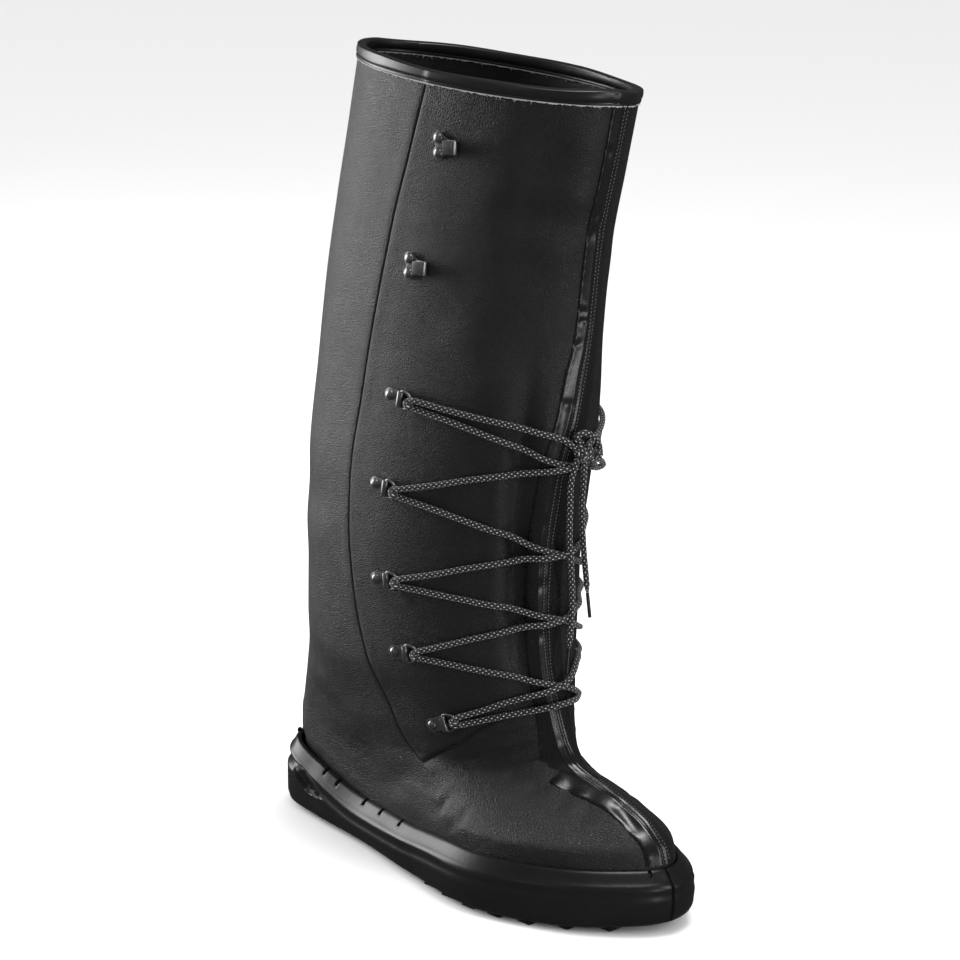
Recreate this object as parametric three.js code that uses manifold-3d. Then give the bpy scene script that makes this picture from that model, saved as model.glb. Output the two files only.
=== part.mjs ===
// A knee-high winter overshoe for the right foot, in millimetres, with +Z up.
// X runs from the heel to the toe, Y to the inner side, and the floor is the plane Z = 0.
// The origin is on the floor, in the middle of the heel's resting face.
import * as THREE from 'three';
import { mergeVertices } from 'three/addons/utils/BufferGeometryUtils.js';
import Module from 'manifold-3d';

const wasm = await Module();
wasm.setup();

// Sizes of the sole
const SOLE_LENGTH = 330;
const BALL_OUTER = 73;
const BALL_INNER = 60;
const LIP_HEIGHT = 36;
const SOLE_THICKNESS = 14;
const HEEL_LIFT = 5;
const TOE_SPRING = 4;
const HEEL_SPRING = 3;
const LUG_HEIGHT = 2;
const BEVEL_HEIGHT = 10;
const LIP_INSET = 9;
const LIP_WIDTH = 2;
const STRAP_GROOVE = 5;
const TOE_BUMPER = 1;
const HEEL_REST = 48;

// Sizes of the upper and of what is sewn to it
const BOOT_HEIGHT = 490;
const COLLAR_RISE = -10;
const COLLAR_DIP = 6;
const WALL = 3;
const PANEL_STEP = 0.8;
const TAPE_WIDTH = 22;
const TAPE_THICKNESS = 1.2;
const TAPE_RIDGE = 1;
const BINDING_HEIGHT = 11;
const BINDING_THICKNESS = 1.4;
const INSOLE_THICKNESS = 5;
const GAP = 0.3;

// Sizes of the lacing's metalwork and of the lace
const PLATE = 1;
const RIVET = 6.2;
const RIVET_RISE = 1.6;
const CLIP_REACH = 8;
const CLIP_WIDTH = 10;
const RING_WIRE = 1.7;
const RING_WIDTH = 12.4;
const RING_REACH = 9.5;
const HOOK_WIDTH = 8;
const HOOK_REACH = 12;
const HOOK_DEPTH = 5;
const HOOK_RIVETS = 8.6;
const LACE = 4;
const AGLET = 2.2;
const KNOT_SIZE = 9;

// The sole's outline: half widths as shares of the two ball widths, from the toe's tip to the heel's back.
// The stations lie at even steps of a half turn, so they are close together at both ends.
const PLAN = [
  { outer: 0, inner: 0 },
  { outer: 0.36, inner: 0.45 },
  { outer: 0.76, inner: 0.83 },
  { outer: 1, inner: 1 },
  { outer: 0.86, inner: 0.91 },
  { outer: 0.65, inner: 0.74 },
  { outer: 0.52, inner: 0.64 },
  { outer: 0.37, inner: 0.46 },
  { outer: 0, inner: 0 },
];

// The lip's height along the sole, as shares of the sole's length and of the lip's height at the ball.
const LIP = [
  { along: 0, up: 1.32 },
  { along: 0.06, up: 1.2 },
  { along: 0.14, up: 1.04 },
  { along: 0.3, up: 0.8 },
  { along: 0.45, up: 0.84 },
  { along: 0.62, up: 0.97 },
  { along: 0.85, up: 1.02 },
  { along: 1, up: 1.08 },
];

// The upper's sections. Rise is a share of the height from the lip to the collar, back and front are
// shares of the foot's length inside the lip, outer and inner are shares of its half widths at the ball,
// oval blends the foot's outline into the shaft's oval, and peak narrows the front towards its seam.
const SECTIONS = [
  { rise: 0, back: 0, front: 1, outer: 1, inner: 1, oval: 0, peak: 0 },
  { rise: 0.02, back: -0.01, front: 0.99, outer: 1.01, inner: 1.02, oval: 0, peak: 0 },
  { rise: 0.043, back: -0.01, front: 0.95, outer: 1, inner: 1.02, oval: 0.05, peak: 0.2 },
  { rise: 0.061, back: -0.005, front: 0.895, outer: 0.98, inner: 1.01, oval: 0.12, peak: 0.4 },
  { rise: 0.077, back: 0, front: 0.835, outer: 0.97, inner: 1, oval: 0.2, peak: 0.55 },
  { rise: 0.09, back: 0.004, front: 0.782, outer: 0.96, inner: 1, oval: 0.3, peak: 0.6 },
  { rise: 0.106, back: 0.009, front: 0.75, outer: 0.95, inner: 1.01, oval: 0.45, peak: 0.45 },
  { rise: 0.131, back: 0.017, front: 0.73, outer: 0.96, inner: 1.05, oval: 0.65, peak: 0.3 },
  { rise: 0.165, back: 0.026, front: 0.716, outer: 0.98, inner: 1.12, oval: 0.8, peak: 0.2 },
  { rise: 0.221, back: 0.033, front: 0.702, outer: 1.03, inner: 1.22, oval: 1, peak: 0.1 },
  { rise: 0.289, back: 0.034, front: 0.696, outer: 1.05, inner: 1.28, oval: 1, peak: 0.1 },
  { rise: 0.368, back: 0.03, front: 0.696, outer: 1.06, inner: 1.3, oval: 1, peak: 0.1 },
  { rise: 0.458, back: 0.03, front: 0.708, outer: 1.04, inner: 1.33, oval: 1, peak: 0.1 },
  { rise: 0.571, back: 0.042, front: 0.725, outer: 0.99, inner: 1.34, oval: 1, peak: 0.1 },
  { rise: 0.684, back: 0.056, front: 0.726, outer: 0.94, inner: 1.36, oval: 1, peak: 0.1 },
  { rise: 0.797, back: 0.08, front: 0.735, outer: 0.9, inner: 1.4, oval: 1, peak: 0.1 },
  { rise: 0.898, back: 0.106, front: 0.76, outer: 0.88, inner: 1.44, oval: 1, peak: 0.1 },
  { rise: 1, back: 0.132, front: 0.788, outer: 0.88, inner: 1.46, oval: 1, peak: 0.1 },
];

// The seams, as turns round the section: 0 is the front, 0.25 the outer side, 0.5 the back.
const SEAMS = [
  { rise: 0, front: 0, side: 0.22 },
  { rise: 0.03, front: 0, side: 0.22 },
  { rise: 0.06, front: -0.004, side: 0.22 },
  { rise: 0.078, front: 0.004, side: 0.22 },
  { rise: 0.092, front: 0.018, side: 0.221 },
  { rise: 0.14, front: 0.02, side: 0.228 },
  { rise: 0.24, front: 0.029, side: 0.254 },
  { rise: 0.32, front: 0.033, side: 0.268 },
  { rise: 0.49, front: 0.03, side: 0.28 },
  { rise: 0.6, front: 0.009, side: 0.276 },
  { rise: 0.72, front: -0.01, side: 0.268 },
  { rise: 0.83, front: -0.011, side: 0.261 },
  { rise: 1, front: -0.018, side: 0.247 },
];

// Soft folds of the leather: place and half spans in turns and rises, and depth as a share of the wall.
const FOLDS = [
  { turn: 0.068, rise: 0.37, deep: 1.5, wide: 0.02, tall: 0.15 },
  { turn: 0.925, rise: 0.37, deep: 1.2, wide: 0.022, tall: 0.15 },
];

// The lacing: the metal rings and the open hooks, from the lowest pair up, each pair mirrored inside.
// The turn and rise are those of the rivet, and lean turns the clip from level, in degrees.
const RINGS = [
  { turn: 0.182, rise: 0.14, lean: 18 },
  { turn: 0.213, rise: 0.234, lean: 5 },
  { turn: 0.234, rise: 0.331, lean: 0 },
  { turn: 0.242, rise: 0.459, lean: -9 },
  { turn: 0.238, rise: 0.579, lean: -9 },
];
const HOOKS = [
  { turn: 0.232, rise: 0.75, lean: 0 },
  { turn: 0.22, rise: 0.91, lean: 3 },
];

// Where the strands of each crossing run: their rises halfway round the front, the one that climbs from
// its ring and the one that comes down, and the place where the two cross. The bar is level at both ends.
const HALFWAY = 0.1;
const CROSSINGS = [
  { up: 0.184, turn: 0.016, cross: 0.208, down: 0.229 },
  { up: 0.2745, turn: 0.026, cross: 0.299, down: 0.3155 },
  { up: 0.368, turn: 0.032, cross: 0.384, down: 0.4095 },
  { up: 0.4925, turn: 0.01, cross: 0.508, down: 0.539 },
];
const LACE_BAR = { up: 0.175, turn: 0.016, cross: 0.183, down: 0.175 };

const ROWS_BELOW_LIP = 2;
const BINDING_RISE = 1 - BINDING_HEIGHT / (BOOT_HEIGHT - LIP_HEIGHT);
const TAPE_LOW = 0.003;
const RISES = [
  0, TAPE_LOW, 0.018, 0.036, 0.052, 0.066, 0.078, 0.09, 0.105, 0.13, 0.165, 0.215, 0.28, 0.35,
  0.42, 0.5, 0.58, 0.68, 0.78, 0.88, BINDING_RISE, 1,
];
const INNER_RISES = [0, 0.036, 0.066, 0.09, 0.13, 0.215, 0.35, 0.5, 0.68, 0.88, BINDING_RISE, 1];

// Interpolation of one column of a table, smooth and without overshoot.
function column(table, key, name, at) {
  const last = table.length - 1;
  let i = 0;
  while (i < last - 1 && at > table[i + 1][key]) i += 1;
  const slope = (k) => (table[k + 1][name] - table[k][name]) / (table[k + 1][key] - table[k][key]);
  const tangent = (k) => {
    if (k === 0) return slope(0);
    if (k === last) return slope(last - 1);
    const a = slope(k - 1);
    const b = slope(k);
    return a * b <= 0 ? 0 : (2 * a * b) / (a + b);
  };
  const span = table[i + 1][key] - table[i][key];
  const t = THREE.MathUtils.clamp((at - table[i][key]) / span, 0, 1);
  const t2 = t * t;
  const t3 = t2 * t;
  return (2 * t3 - 3 * t2 + 1) * table[i][name] + (t3 - 2 * t2 + t) * span * tangent(i)
    + (3 * t2 - 2 * t3) * table[i + 1][name] + (t3 - t2) * span * tangent(i + 1);
}

const HALF = PLAN.length - 1;

function planAcross(turn) {
  const node = (k) => {
    const m = ((k % (2 * HALF)) + 2 * HALF) % (2 * HALF);
    return m <= HALF ? -PLAN[m].outer * BALL_OUTER : PLAN[2 * HALF - m].inner * BALL_INNER;
  };
  const s = turn * 2 * HALF;
  const i = Math.floor(s);
  const t = s - i;
  const [a, b, c, d] = [node(i - 1), node(i), node(i + 1), node(i + 2)];
  return b + 0.5 * t * (c - a + t * (2 * a - 5 * b + 4 * c - d + t * (3 * (b - c) + d - a)));
}

function planRaw(turn) {
  const along = SOLE_LENGTH * (1 + Math.cos(2 * Math.PI * turn)) / 2;
  return new THREE.Vector2(along, planAcross(turn));
}

// The sole's outline moved inwards by an inset.
function planPoint(turn, inset) {
  const step = 1e-3;
  const tangent = planRaw(turn + step).sub(planRaw(turn - step)).normalize();
  return planRaw(turn).add(new THREE.Vector2(tangent.y, -tangent.x).multiplyScalar(inset));
}

const smooth = (from, to, x) => THREE.MathUtils.smoothstep(x, from, to);

const lipHeight = (x) => LIP_HEIGHT * column(LIP, 'along', 'up', x / SOLE_LENGTH);

// The sole's underside above its lugs, and the floor inside it.
function underside(x) {
  const toe = Math.max(0, (x / SOLE_LENGTH - 0.8) / 0.2);
  const heel = Math.max(0, 1 - x / (0.06 * SOLE_LENGTH));
  return LUG_HEIGHT + TOE_SPRING * toe ** 2 + HEEL_SPRING * heel ** 2;
}

function cupFloor(x) {
  const share = x / SOLE_LENGTH;
  const toe = Math.max(0, (share - 0.8) / 0.2);
  return SOLE_THICKNESS + HEEL_LIFT * (1 - smooth(0.25, 0.6, share)) + TOE_SPRING * toe ** 2;
}

// Where the upper's outer face stands inside the lip.
const UPPER_INSET = LIP_INSET + LIP_WIDTH + GAP;
const FOOT_BACK = planPoint(0.5, UPPER_INSET).x;
const FOOT_FRONT = planPoint(0, UPPER_INSET).x;
const FOOT_OUTER = BALL_OUTER - UPPER_INSET;
const FOOT_INNER = BALL_INNER - UPPER_INSET;

function shaftPoint(turn, rise, folded = true) {
  const row = {};
  for (const name of ['back', 'front', 'outer', 'inner', 'oval', 'peak']) {
    row[name] = column(SECTIONS, 'rise', name, rise);
  }
  const foot = planPoint(turn, UPPER_INSET);
  const angle = 2 * Math.PI * turn;
  const share = (foot.x - FOOT_BACK) / (FOOT_FRONT - FOOT_BACK);
  const along = THREE.MathUtils.lerp(share, (1 + Math.cos(angle)) / 2, row.oval);
  const outerSide = Math.sin(angle) > 0;
  const halfWidth = outerSide ? row.outer * FOOT_OUTER : row.inner * FOOT_INNER;
  const across = foot.y / (outerSide ? FOOT_OUTER : FOOT_INNER);
  const reach = THREE.MathUtils.lerp(row.back, row.front, along);
  const x = FOOT_BACK + (FOOT_FRONT - FOOT_BACK) * reach;
  const taper = 1 - row.peak * along ** 3;
  const y = halfWidth * taper * THREE.MathUtils.lerp(across, -Math.sin(angle), row.oval);
  const lip = lipHeight(planRaw(turn).x);
  const collar = BOOT_HEIGHT + COLLAR_RISE * (along - 0.5) - COLLAR_DIP * Math.max(0, -Math.sin(angle));
  let push = 0;
  for (const fold of folded ? FOLDS : []) {
    let away = Math.abs(turn - fold.turn);
    away = Math.min(away, 1 - away);
    push -= WALL * fold.deep * Math.exp(-((away / fold.wide) ** 2) - ((rise - fold.rise) / fold.tall) ** 2);
  }
  const out = new THREE.Vector2(Math.cos(angle) * halfWidth, -Math.sin(angle) * SOLE_LENGTH / 4).normalize();
  return new THREE.Vector3(x + push * out.x, y + push * out.y, lip + (collar - lip) * rise);
}

// A point of the upper's outer form, moved outwards by an offset.
function upperPoint(turn, rise, offset, folded = true) {
  const point = shaftPoint(turn, rise, folded);
  if (offset === 0) return point;
  return point.addScaledVector(upperNormal(turn, rise), offset);
}

function upperNormal(turn, rise) {
  const step = 2e-3;
  const low = Math.max(0, rise - step);
  const high = Math.min(1, rise + step);
  const round = shaftPoint(turn + step, rise).sub(shaftPoint(turn - step, rise));
  const upwards = shaftPoint(turn, high).sub(shaftPoint(turn, low));
  return upwards.cross(round).normalize();
}

const frontSeam = (rise) => column(SEAMS, 'rise', 'front', rise);
const sideSeam = (rise) => column(SEAMS, 'rise', 'side', rise);

// How far one turn runs at the front, which turns a width in millimetres into turns.
function turnsAtFront(rise, width) {
  const step = 2e-3;
  const centre = frontSeam(rise);
  return width * 2 * step / shaftPoint(centre + step, rise).distanceTo(shaftPoint(centre - step, rise));
}

// The columns of the upper's grid: they follow the tape's edges and the side seams.
const TAPE_COLUMNS = 2;
const PANEL_COLUMNS = 7;
const BACK_COLUMNS = 9;
const SEAM_TURN = 0.003;

function columnTurns(rise) {
  const centre = frontSeam(rise);
  const half = turnsAtFront(rise, TAPE_WIDTH / 2);
  const side = (sign) => {
    const turns = [];
    const seam = sideSeam(rise);
    const from = half + sign * centre;
    for (let k = 1; k <= TAPE_COLUMNS; k += 1) turns.push(sign * centre + half * k / TAPE_COLUMNS);
    for (let k = 1; k <= PANEL_COLUMNS; k += 1) turns.push(from + (seam - from) * k / PANEL_COLUMNS);
    const behind = seam + SEAM_TURN;
    for (let k = 0; k < BACK_COLUMNS; k += 1) turns.push(behind + (0.5 - behind) * k / BACK_COLUMNS);
    return turns;
  };
  const inner = side(-1).map((turn) => 1 - turn).reverse();
  return [centre, ...side(1), 0.5, ...inner];
}

// The lacing panels stand proud of the rear quarter, down to their lower corners.
const PANEL_LOW = 0.09;
function panelStep(index, count, rise) {
  const fromFront = Math.min(index, count - index);
  if (fromFront > TAPE_COLUMNS + PANEL_COLUMNS) return 0;
  return PANEL_STEP * smooth(PANEL_LOW, PANEL_LOW + 0.02, rise);
}

// Turns rings of points into a closed mesh. A cap joins point k of a ring to point (fold - k).
// From the column named turned on, the quads are split along their other diagonal.
function skin(rings, { wrap = false, fold = null, turned = Infinity } = {}) {
  const count = rings[0].length;
  const positions = rings.flat().flatMap((p) => [p.x, p.y, p.z]);
  const index = [];
  const quad = (a, b, c, d, other) => {
    if (other) index.push(a, b, d, b, c, d);
    else index.push(a, b, c, a, c, d);
  };
  const last = wrap ? rings.length : rings.length - 1;
  for (let r = 0; r < last; r += 1) {
    const next = (r + 1) % rings.length;
    for (let k = 0; k < count; k += 1) {
      const k1 = (k + 1) % count;
      quad(r * count + k, r * count + k1, next * count + k1, next * count + k, k >= turned);
    }
  }
  if (!wrap) {
    const pair = (k) => ((fold - k) % count + count) % count;
    for (const [ring, flip] of [[0, true], [rings.length - 1, false]]) {
      for (let k = 0; k < count / 2; k += 1) {
        const corners = [k, k + 1, pair(k + 1), pair(k)];
        const shared = [...new Set(corners)];
        for (let j = 1; j < shared.length - 1; j += 1) {
          const face = [shared[0], shared[j], shared[j + 1]].map((v) => ring * count + v);
          index.push(...(flip ? face.reverse() : face));
        }
      }
    }
  }
  const geometry = new THREE.BufferGeometry();
  geometry.setAttribute('position', new THREE.Float32BufferAttribute(positions, 3));
  geometry.setIndex(index);
  return faceOut(geometry);
}

// Turns the faces outwards where the mesh's volume comes out negative.
function faceOut(geometry) {
  const p = geometry.attributes.position;
  const ids = geometry.index.array;
  const [a, b, c] = [new THREE.Vector3(), new THREE.Vector3(), new THREE.Vector3()];
  let volume = 0;
  for (let i = 0; i < ids.length; i += 3) {
    a.fromBufferAttribute(p, ids[i]);
    b.fromBufferAttribute(p, ids[i + 1]);
    c.fromBufferAttribute(p, ids[i + 2]);
    volume += a.dot(b.cross(c));
  }
  if (volume < 0) {
    const flipped = [];
    for (let i = 0; i < ids.length; i += 3) flipped.push(ids[i], ids[i + 2], ids[i + 1]);
    geometry.setIndex(flipped);
  }
  return geometry;
}

function toSolid(geometry) {
  const plain = geometry.clone();
  plain.deleteAttribute('normal');
  plain.deleteAttribute('uv');
  const merged = mergeVertices(plain, 1e-4);
  return new wasm.Manifold(new wasm.Mesh({
    numProp: 3,
    vertProperties: new Float32Array(merged.attributes.position.array),
    triVerts: new Uint32Array(merged.index.array),
  }));
}

function fromSolid(solid) {
  const mesh = solid.getMesh();
  const geometry = new THREE.BufferGeometry();
  geometry.setAttribute('position', new THREE.Float32BufferAttribute(mesh.vertProperties, 3));
  geometry.setIndex(Array.from(mesh.triVerts));
  return geometry;
}

const join = (geometries) => fromSolid(geometries.map(toSolid).reduce((a, b) => a.add(b)));

// The outsole: a rubber cup with a bevelled lip, a strap groove round the heel and lugs underneath.
const SOLE_PROFILE = [
  { inset: 5.5, from: 'base', up: 0 },
  { inset: 2.2, from: 'base', up: 2 },
  { inset: 0.6, from: 'base', up: 7 },
  { inset: 0, from: 'bevel', up: -7 },
  { inset: 0.8, from: 'bevel', up: -3, groove: 1 },
  { inset: 0.8, from: 'bevel', up: 0, groove: 0.2 },
  { inset: LIP_INSET - 1, from: 'lip', up: -0.8 },
  { inset: LIP_INSET, from: 'lip', up: 0 },
  { inset: LIP_INSET + LIP_WIDTH, from: 'lip', up: -0.6 },
  { inset: LIP_INSET + LIP_WIDTH, from: 'floor', up: 0 },
];

// The tread: rows of lugs across the sole, with the inset of their ends from the outline.
const LUG_ROWS = [
  { along: 0.08, inset: 12, count: 2 },
  { along: 0.145, inset: 12, count: 3 },
  { along: 0.21, inset: 12, count: 2 },
  { along: 0.55, inset: 7, count: 3 },
  { along: 0.61, inset: 7, count: 3 },
  { along: 0.67, inset: 7, count: 3 },
  { along: 0.73, inset: 7, count: 3 },
  { along: 0.79, inset: 7, count: 3 },
  { along: 0.85, inset: 10, count: 2 },
  { along: 0.91, inset: 15, count: 1 },
];
const LUG_LENGTH = 10;
const LUG_SPACE = 8;
const BUMPER_TURN = 0.05;
const BUMPER_STEPS = 4;
const LEAF_TURN = 0.388;
const LEAF_LENGTH = 40;
const LEAF_WIDTH = 10;
const LEAF_DEPTH = 3.2;
const LEAF_HEIGHT = 24.5;
const LEAF_LEAN = 0.3;

function soleRing(row) {
  return columnTurns(0).map((turn) => {
    const x = planRaw(turn).x;
    const heel = 1 - smooth(0.03, 0.1, x / SOLE_LENGTH);
    const inset = row.inset + STRAP_GROOVE * heel * (row.groove ?? 0);
    const levels = {
      base: underside(x),
      bevel: lipHeight(x) - BEVEL_HEIGHT,
      lip: lipHeight(x),
      floor: cupFloor(x),
    };
    const p = planPoint(turn, inset);
    return new THREE.Vector3(p.x, p.y, levels[row.from] + row.up);
  });
}

// A box that crosses the sole, from the ground to just inside the underside.
function lug(x, y, length, width) {
  const low = underside(x) - LUG_HEIGHT;
  const box = new THREE.BoxGeometry(length, width, LUG_HEIGHT + 1);
  return box.translate(x, y, low + (LUG_HEIGHT + 1) / 2);
}

function lugs() {
  const list = [];
  for (const row of LUG_ROWS) {
    const x = row.along * SOLE_LENGTH;
    const turn = Math.acos(2 * row.along - 1) / (2 * Math.PI);
    const outer = planPoint(turn, row.inset).y;
    const inner = planPoint(1 - turn, row.inset).y;
    const pitch = (inner - outer + LUG_SPACE) / row.count;
    for (let k = 0; k < row.count; k += 1) {
      list.push(lug(x, outer + pitch * (k + 0.5) - LUG_SPACE / 2, LUG_LENGTH, pitch - LUG_SPACE));
    }
  }
  return list;
}

// The raised block on the inner half of the toe.
function toeBumper() {
  const rings = [];
  for (let k = 0; k <= BUMPER_STEPS; k += 1) {
    const turn = 1 - BUMPER_TURN * k / BUMPER_STEPS;
    const x = planRaw(turn).x;
    const stations = [
      [2.2, underside(x) + 2], [0.6, underside(x) + 7], [0, lipHeight(x) - BEVEL_HEIGHT - 6],
      [0.8, lipHeight(x) - BEVEL_HEIGHT + 2], [LIP_INSET - 2.5, lipHeight(x) + TOE_BUMPER],
    ];
    const face = (proud) => stations.map(([inset, z]) => {
      const p = planPoint(turn, inset - proud);
      return new THREE.Vector3(p.x, p.y, z);
    });
    rings.push([...face(TOE_BUMPER), ...face(-2).reverse()]);
  }
  return skin(rings, { fold: rings[0].length - 1 });
}

// A leaf-shaped hollow low on each side of the heel, where the strap groove runs out.
function heelLeaf(side) {
  const leaf = new THREE.SphereGeometry(1, 8, 5);
  const turn = side < 0 ? LEAF_TURN : 1 - LEAF_TURN;
  const centre = planPoint(turn, 0);
  const ahead = planRaw(turn + 0.01 * side).sub(planRaw(turn - 0.01 * side)).normalize();
  leaf.scale(LEAF_LENGTH / 2, LEAF_DEPTH, LEAF_WIDTH / 2);
  leaf.rotateY(LEAF_LEAN);
  leaf.rotateZ(Math.atan2(ahead.y, ahead.x));
  return leaf.translate(centre.x, centre.y, LEAF_HEIGHT);
}

function outsole() {
  const cup = toSolid(skin(SOLE_PROFILE.map(soleRing), { fold: 0 }));
  const added = [...lugs(), toeBumper()].map(toSolid).reduce((a, b) => a.add(b), cup);
  return fromSolid([-1, 1].map((side) => toSolid(heelLeaf(side))).reduce((a, b) => a.subtract(b), added));
}

// The insole lies on the cup's floor inside the upper.
function insole() {
  const inset = UPPER_INSET + WALL + GAP;
  const ring = (up) => columnTurns(0).map((turn) => {
    const p = planPoint(turn, inset);
    return new THREE.Vector3(p.x, p.y, cupFloor(planRaw(turn).x) + up);
  });
  return skin([ring(GAP), ring(GAP + INSOLE_THICKNESS)], { fold: 0 });
}

// The upper: outer rows from the cup's floor to the collar, and inner rows back down again.
function upper() {
  const wallRing = (rise, offset) => {
    const turns = columnTurns(rise);
    return turns.map((turn, k) => {
      const step = offset === 0 ? panelStep(k, turns.length, rise) : 0;
      return upperPoint(turn, rise, offset + step);
    });
  };
  const footRing = (share, offset) => columnTurns(0).map((turn) => {
    const p = planPoint(turn, UPPER_INSET - offset);
    const x = planRaw(turn).x;
    const low = cupFloor(x) + GAP;
    return new THREE.Vector3(p.x, p.y, low + (lipHeight(x) - low) * share);
  });
  const rings = [];
  for (let k = 0; k < ROWS_BELOW_LIP; k += 1) rings.push(footRing(k / ROWS_BELOW_LIP, 0));
  for (const rise of RISES) rings.push(wallRing(rise, 0));
  for (const rise of [...INNER_RISES].reverse()) rings.push(wallRing(rise, -WALL));
  for (let k = ROWS_BELOW_LIP - 1; k >= 0; k -= 1) rings.push(footRing(k / ROWS_BELOW_LIP, -WALL));
  return skin(rings, { wrap: true });
}

// The tape over the front seam, with a ridge along its middle.
function frontTape() {
  const rises = [...RISES.filter((rise) => rise >= TAPE_LOW && rise < BINDING_RISE), BINDING_RISE - 1e-3];
  const rings = rises.map((rise) => {
    const turns = columnTurns(rise);
    const count = turns.length;
    const columns = [];
    for (let k = -TAPE_COLUMNS; k <= TAPE_COLUMNS; k += 1) columns.push((k + count) % count);
    const face = (up) => columns.map((k) => {
      const ridge = k === 0 && up > 0 ? TAPE_RIDGE : 0;
      return upperPoint(turns[k], rise, panelStep(k, count, rise) + GAP + up + ridge);
    });
    return [...face(TAPE_THICKNESS), ...face(0).reverse()];
  });
  return skin(rings, { fold: rings[0].length - 1, turned: rings[0].length / 2 });
}

// The binding folded over the collar's edge.
function collarBinding() {
  const turns = columnTurns(1);
  const ring = (rise, side, proud, lift) => turns.map((turn, k) => {
    const at = columnTurns(rise)[k];
    const step = side > 0 ? panelStep(k, turns.length, rise) : -WALL;
    const point = upperPoint(at, rise, step + side * (GAP + proud));
    point.z += lift;
    return point;
  });
  const thick = BINDING_THICKNESS;
  const crown = turns.map((turn) => {
    const point = upperPoint(turn, 1, -WALL / 2);
    point.z += GAP + thick;
    return point;
  });
  return skin([
    ring(BINDING_RISE, 1, 0, 0), ring(BINDING_RISE, 1, thick, 0), ring(1, 1, thick, 0), crown,
    ring(1, -1, thick, 0), ring(BINDING_RISE, -1, thick, 0), ring(BINDING_RISE, -1, 0, 0),
    ring(1, -1, 0, GAP), ring(1, 1, 0, GAP),
  ], { wrap: true });
}

// A frame on the panel's face: forward runs to the front seam, up to the collar, out away from the leg.
function seat({ turn, rise, lean }, side) {
  const at = side < 0 ? turn : 1 - turn;
  const out = upperNormal(at, rise);
  const toFront = shaftPoint(at + 0.002 * side, rise).sub(shaftPoint(at - 0.002 * side, rise)).normalize();
  const forward = toFront.applyAxisAngle(out, THREE.MathUtils.degToRad(lean) * -side);
  const up = new THREE.Vector3().crossVectors(out, forward).normalize().multiplyScalar(-side);
  const origin = upperPoint(at, rise, PANEL_STEP + GAP);
  return { origin, forward, up, out, side };
}

function place(geometry, frame) {
  const across = new THREE.Vector3().crossVectors(frame.out, frame.forward);
  const matrix = new THREE.Matrix4().makeBasis(frame.forward, across, frame.out).setPosition(frame.origin);
  return geometry.applyMatrix4(matrix);
}

function rivetHead(x, y) {
  const r = RIVET / 2;
  const top = PLATE + RIVET_RISE;
  const profile = [[0, 0.3], [r, 0.3], [r, PLATE + 0.5], [r * 0.6, top - 0.2], [0, top]];
  const dome = new THREE.LatheGeometry(profile.map(([a, b]) => new THREE.Vector2(a, b)), 8);
  return dome.rotateX(Math.PI / 2).translate(x, y, 0);
}

const EYE_OUTER = RING_WIRE / 2 + GAP + 0.9;
const EYE_INNER = RING_WIRE / 2 + GAP;

// A riveted clip: a tapering plate whose front end is rolled round the ring's bar.
function ringClip(frame) {
  const r = RIVET / 2 + 0.9;
  const half = CLIP_WIDTH / 2;
  const outline = new THREE.Shape();
  outline.moveTo(0, r);
  outline.absarc(0, 0, r, Math.PI / 2, 3 * Math.PI / 2, false);
  outline.lineTo(CLIP_REACH, -half);
  outline.lineTo(CLIP_REACH, half);
  const plate = new THREE.ExtrudeGeometry(outline, { depth: PLATE, bevelEnabled: false, curveSegments: 3 });
  const tube = new THREE.Shape();
  tube.absarc(0, 0, EYE_OUTER, 0, 2 * Math.PI, false);
  const bore = new THREE.Path();
  bore.absarc(0, 0, EYE_INNER, 0, 2 * Math.PI, true);
  tube.holes.push(bore);
  const eye = new THREE.ExtrudeGeometry(tube, { depth: CLIP_WIDTH - 1.6, bevelEnabled: false, curveSegments: 4 });
  eye.rotateX(Math.PI / 2).translate(CLIP_REACH + EYE_INNER, half - 0.8, EYE_OUTER);
  return place(join([plate, eye, rivetHead(0, 0)]), frame);
}

// A ring of wire shaped like a D, its straight bar inside the clip's rolled end.
function laceRing(frame) {
  const bar = CLIP_REACH + EYE_INNER;
  const half = RING_WIDTH / 2 - RING_WIRE / 2;
  const centres = [[bar, -half + 0.8], [bar, half - 0.8]];
  const steps = 6;
  for (let k = 0; k <= steps; k += 1) {
    const angle = Math.PI / 2 - Math.PI * k / steps;
    centres.push([bar + 1.8 + (RING_REACH - 1.8) * Math.cos(angle), half * Math.sin(angle)]);
  }
  const middle = new THREE.Vector2(bar + RING_REACH / 2, 0);
  const sides = 6;
  const rings = centres.map(([x, y], k) => {
    const [ax, ay] = centres[(k + centres.length - 1) % centres.length];
    const [bx, by] = centres[(k + 1) % centres.length];
    const outward = new THREE.Vector2(by - ay, ax - bx).normalize();
    if (outward.dot(new THREE.Vector2(x, y).sub(middle)) < 0) outward.negate();
    const section = [];
    for (let j = 0; j < sides; j += 1) {
      const a = 2 * Math.PI * j / sides;
      const r = RING_WIRE / 2;
      section.push(new THREE.Vector3(
        x + r * Math.cos(a) * outward.x, y + r * Math.cos(a) * outward.y, EYE_OUTER + r * Math.sin(a),
      ));
    }
    return section;
  });
  return place(skin(rings, { wrap: true }), frame);
}

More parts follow.
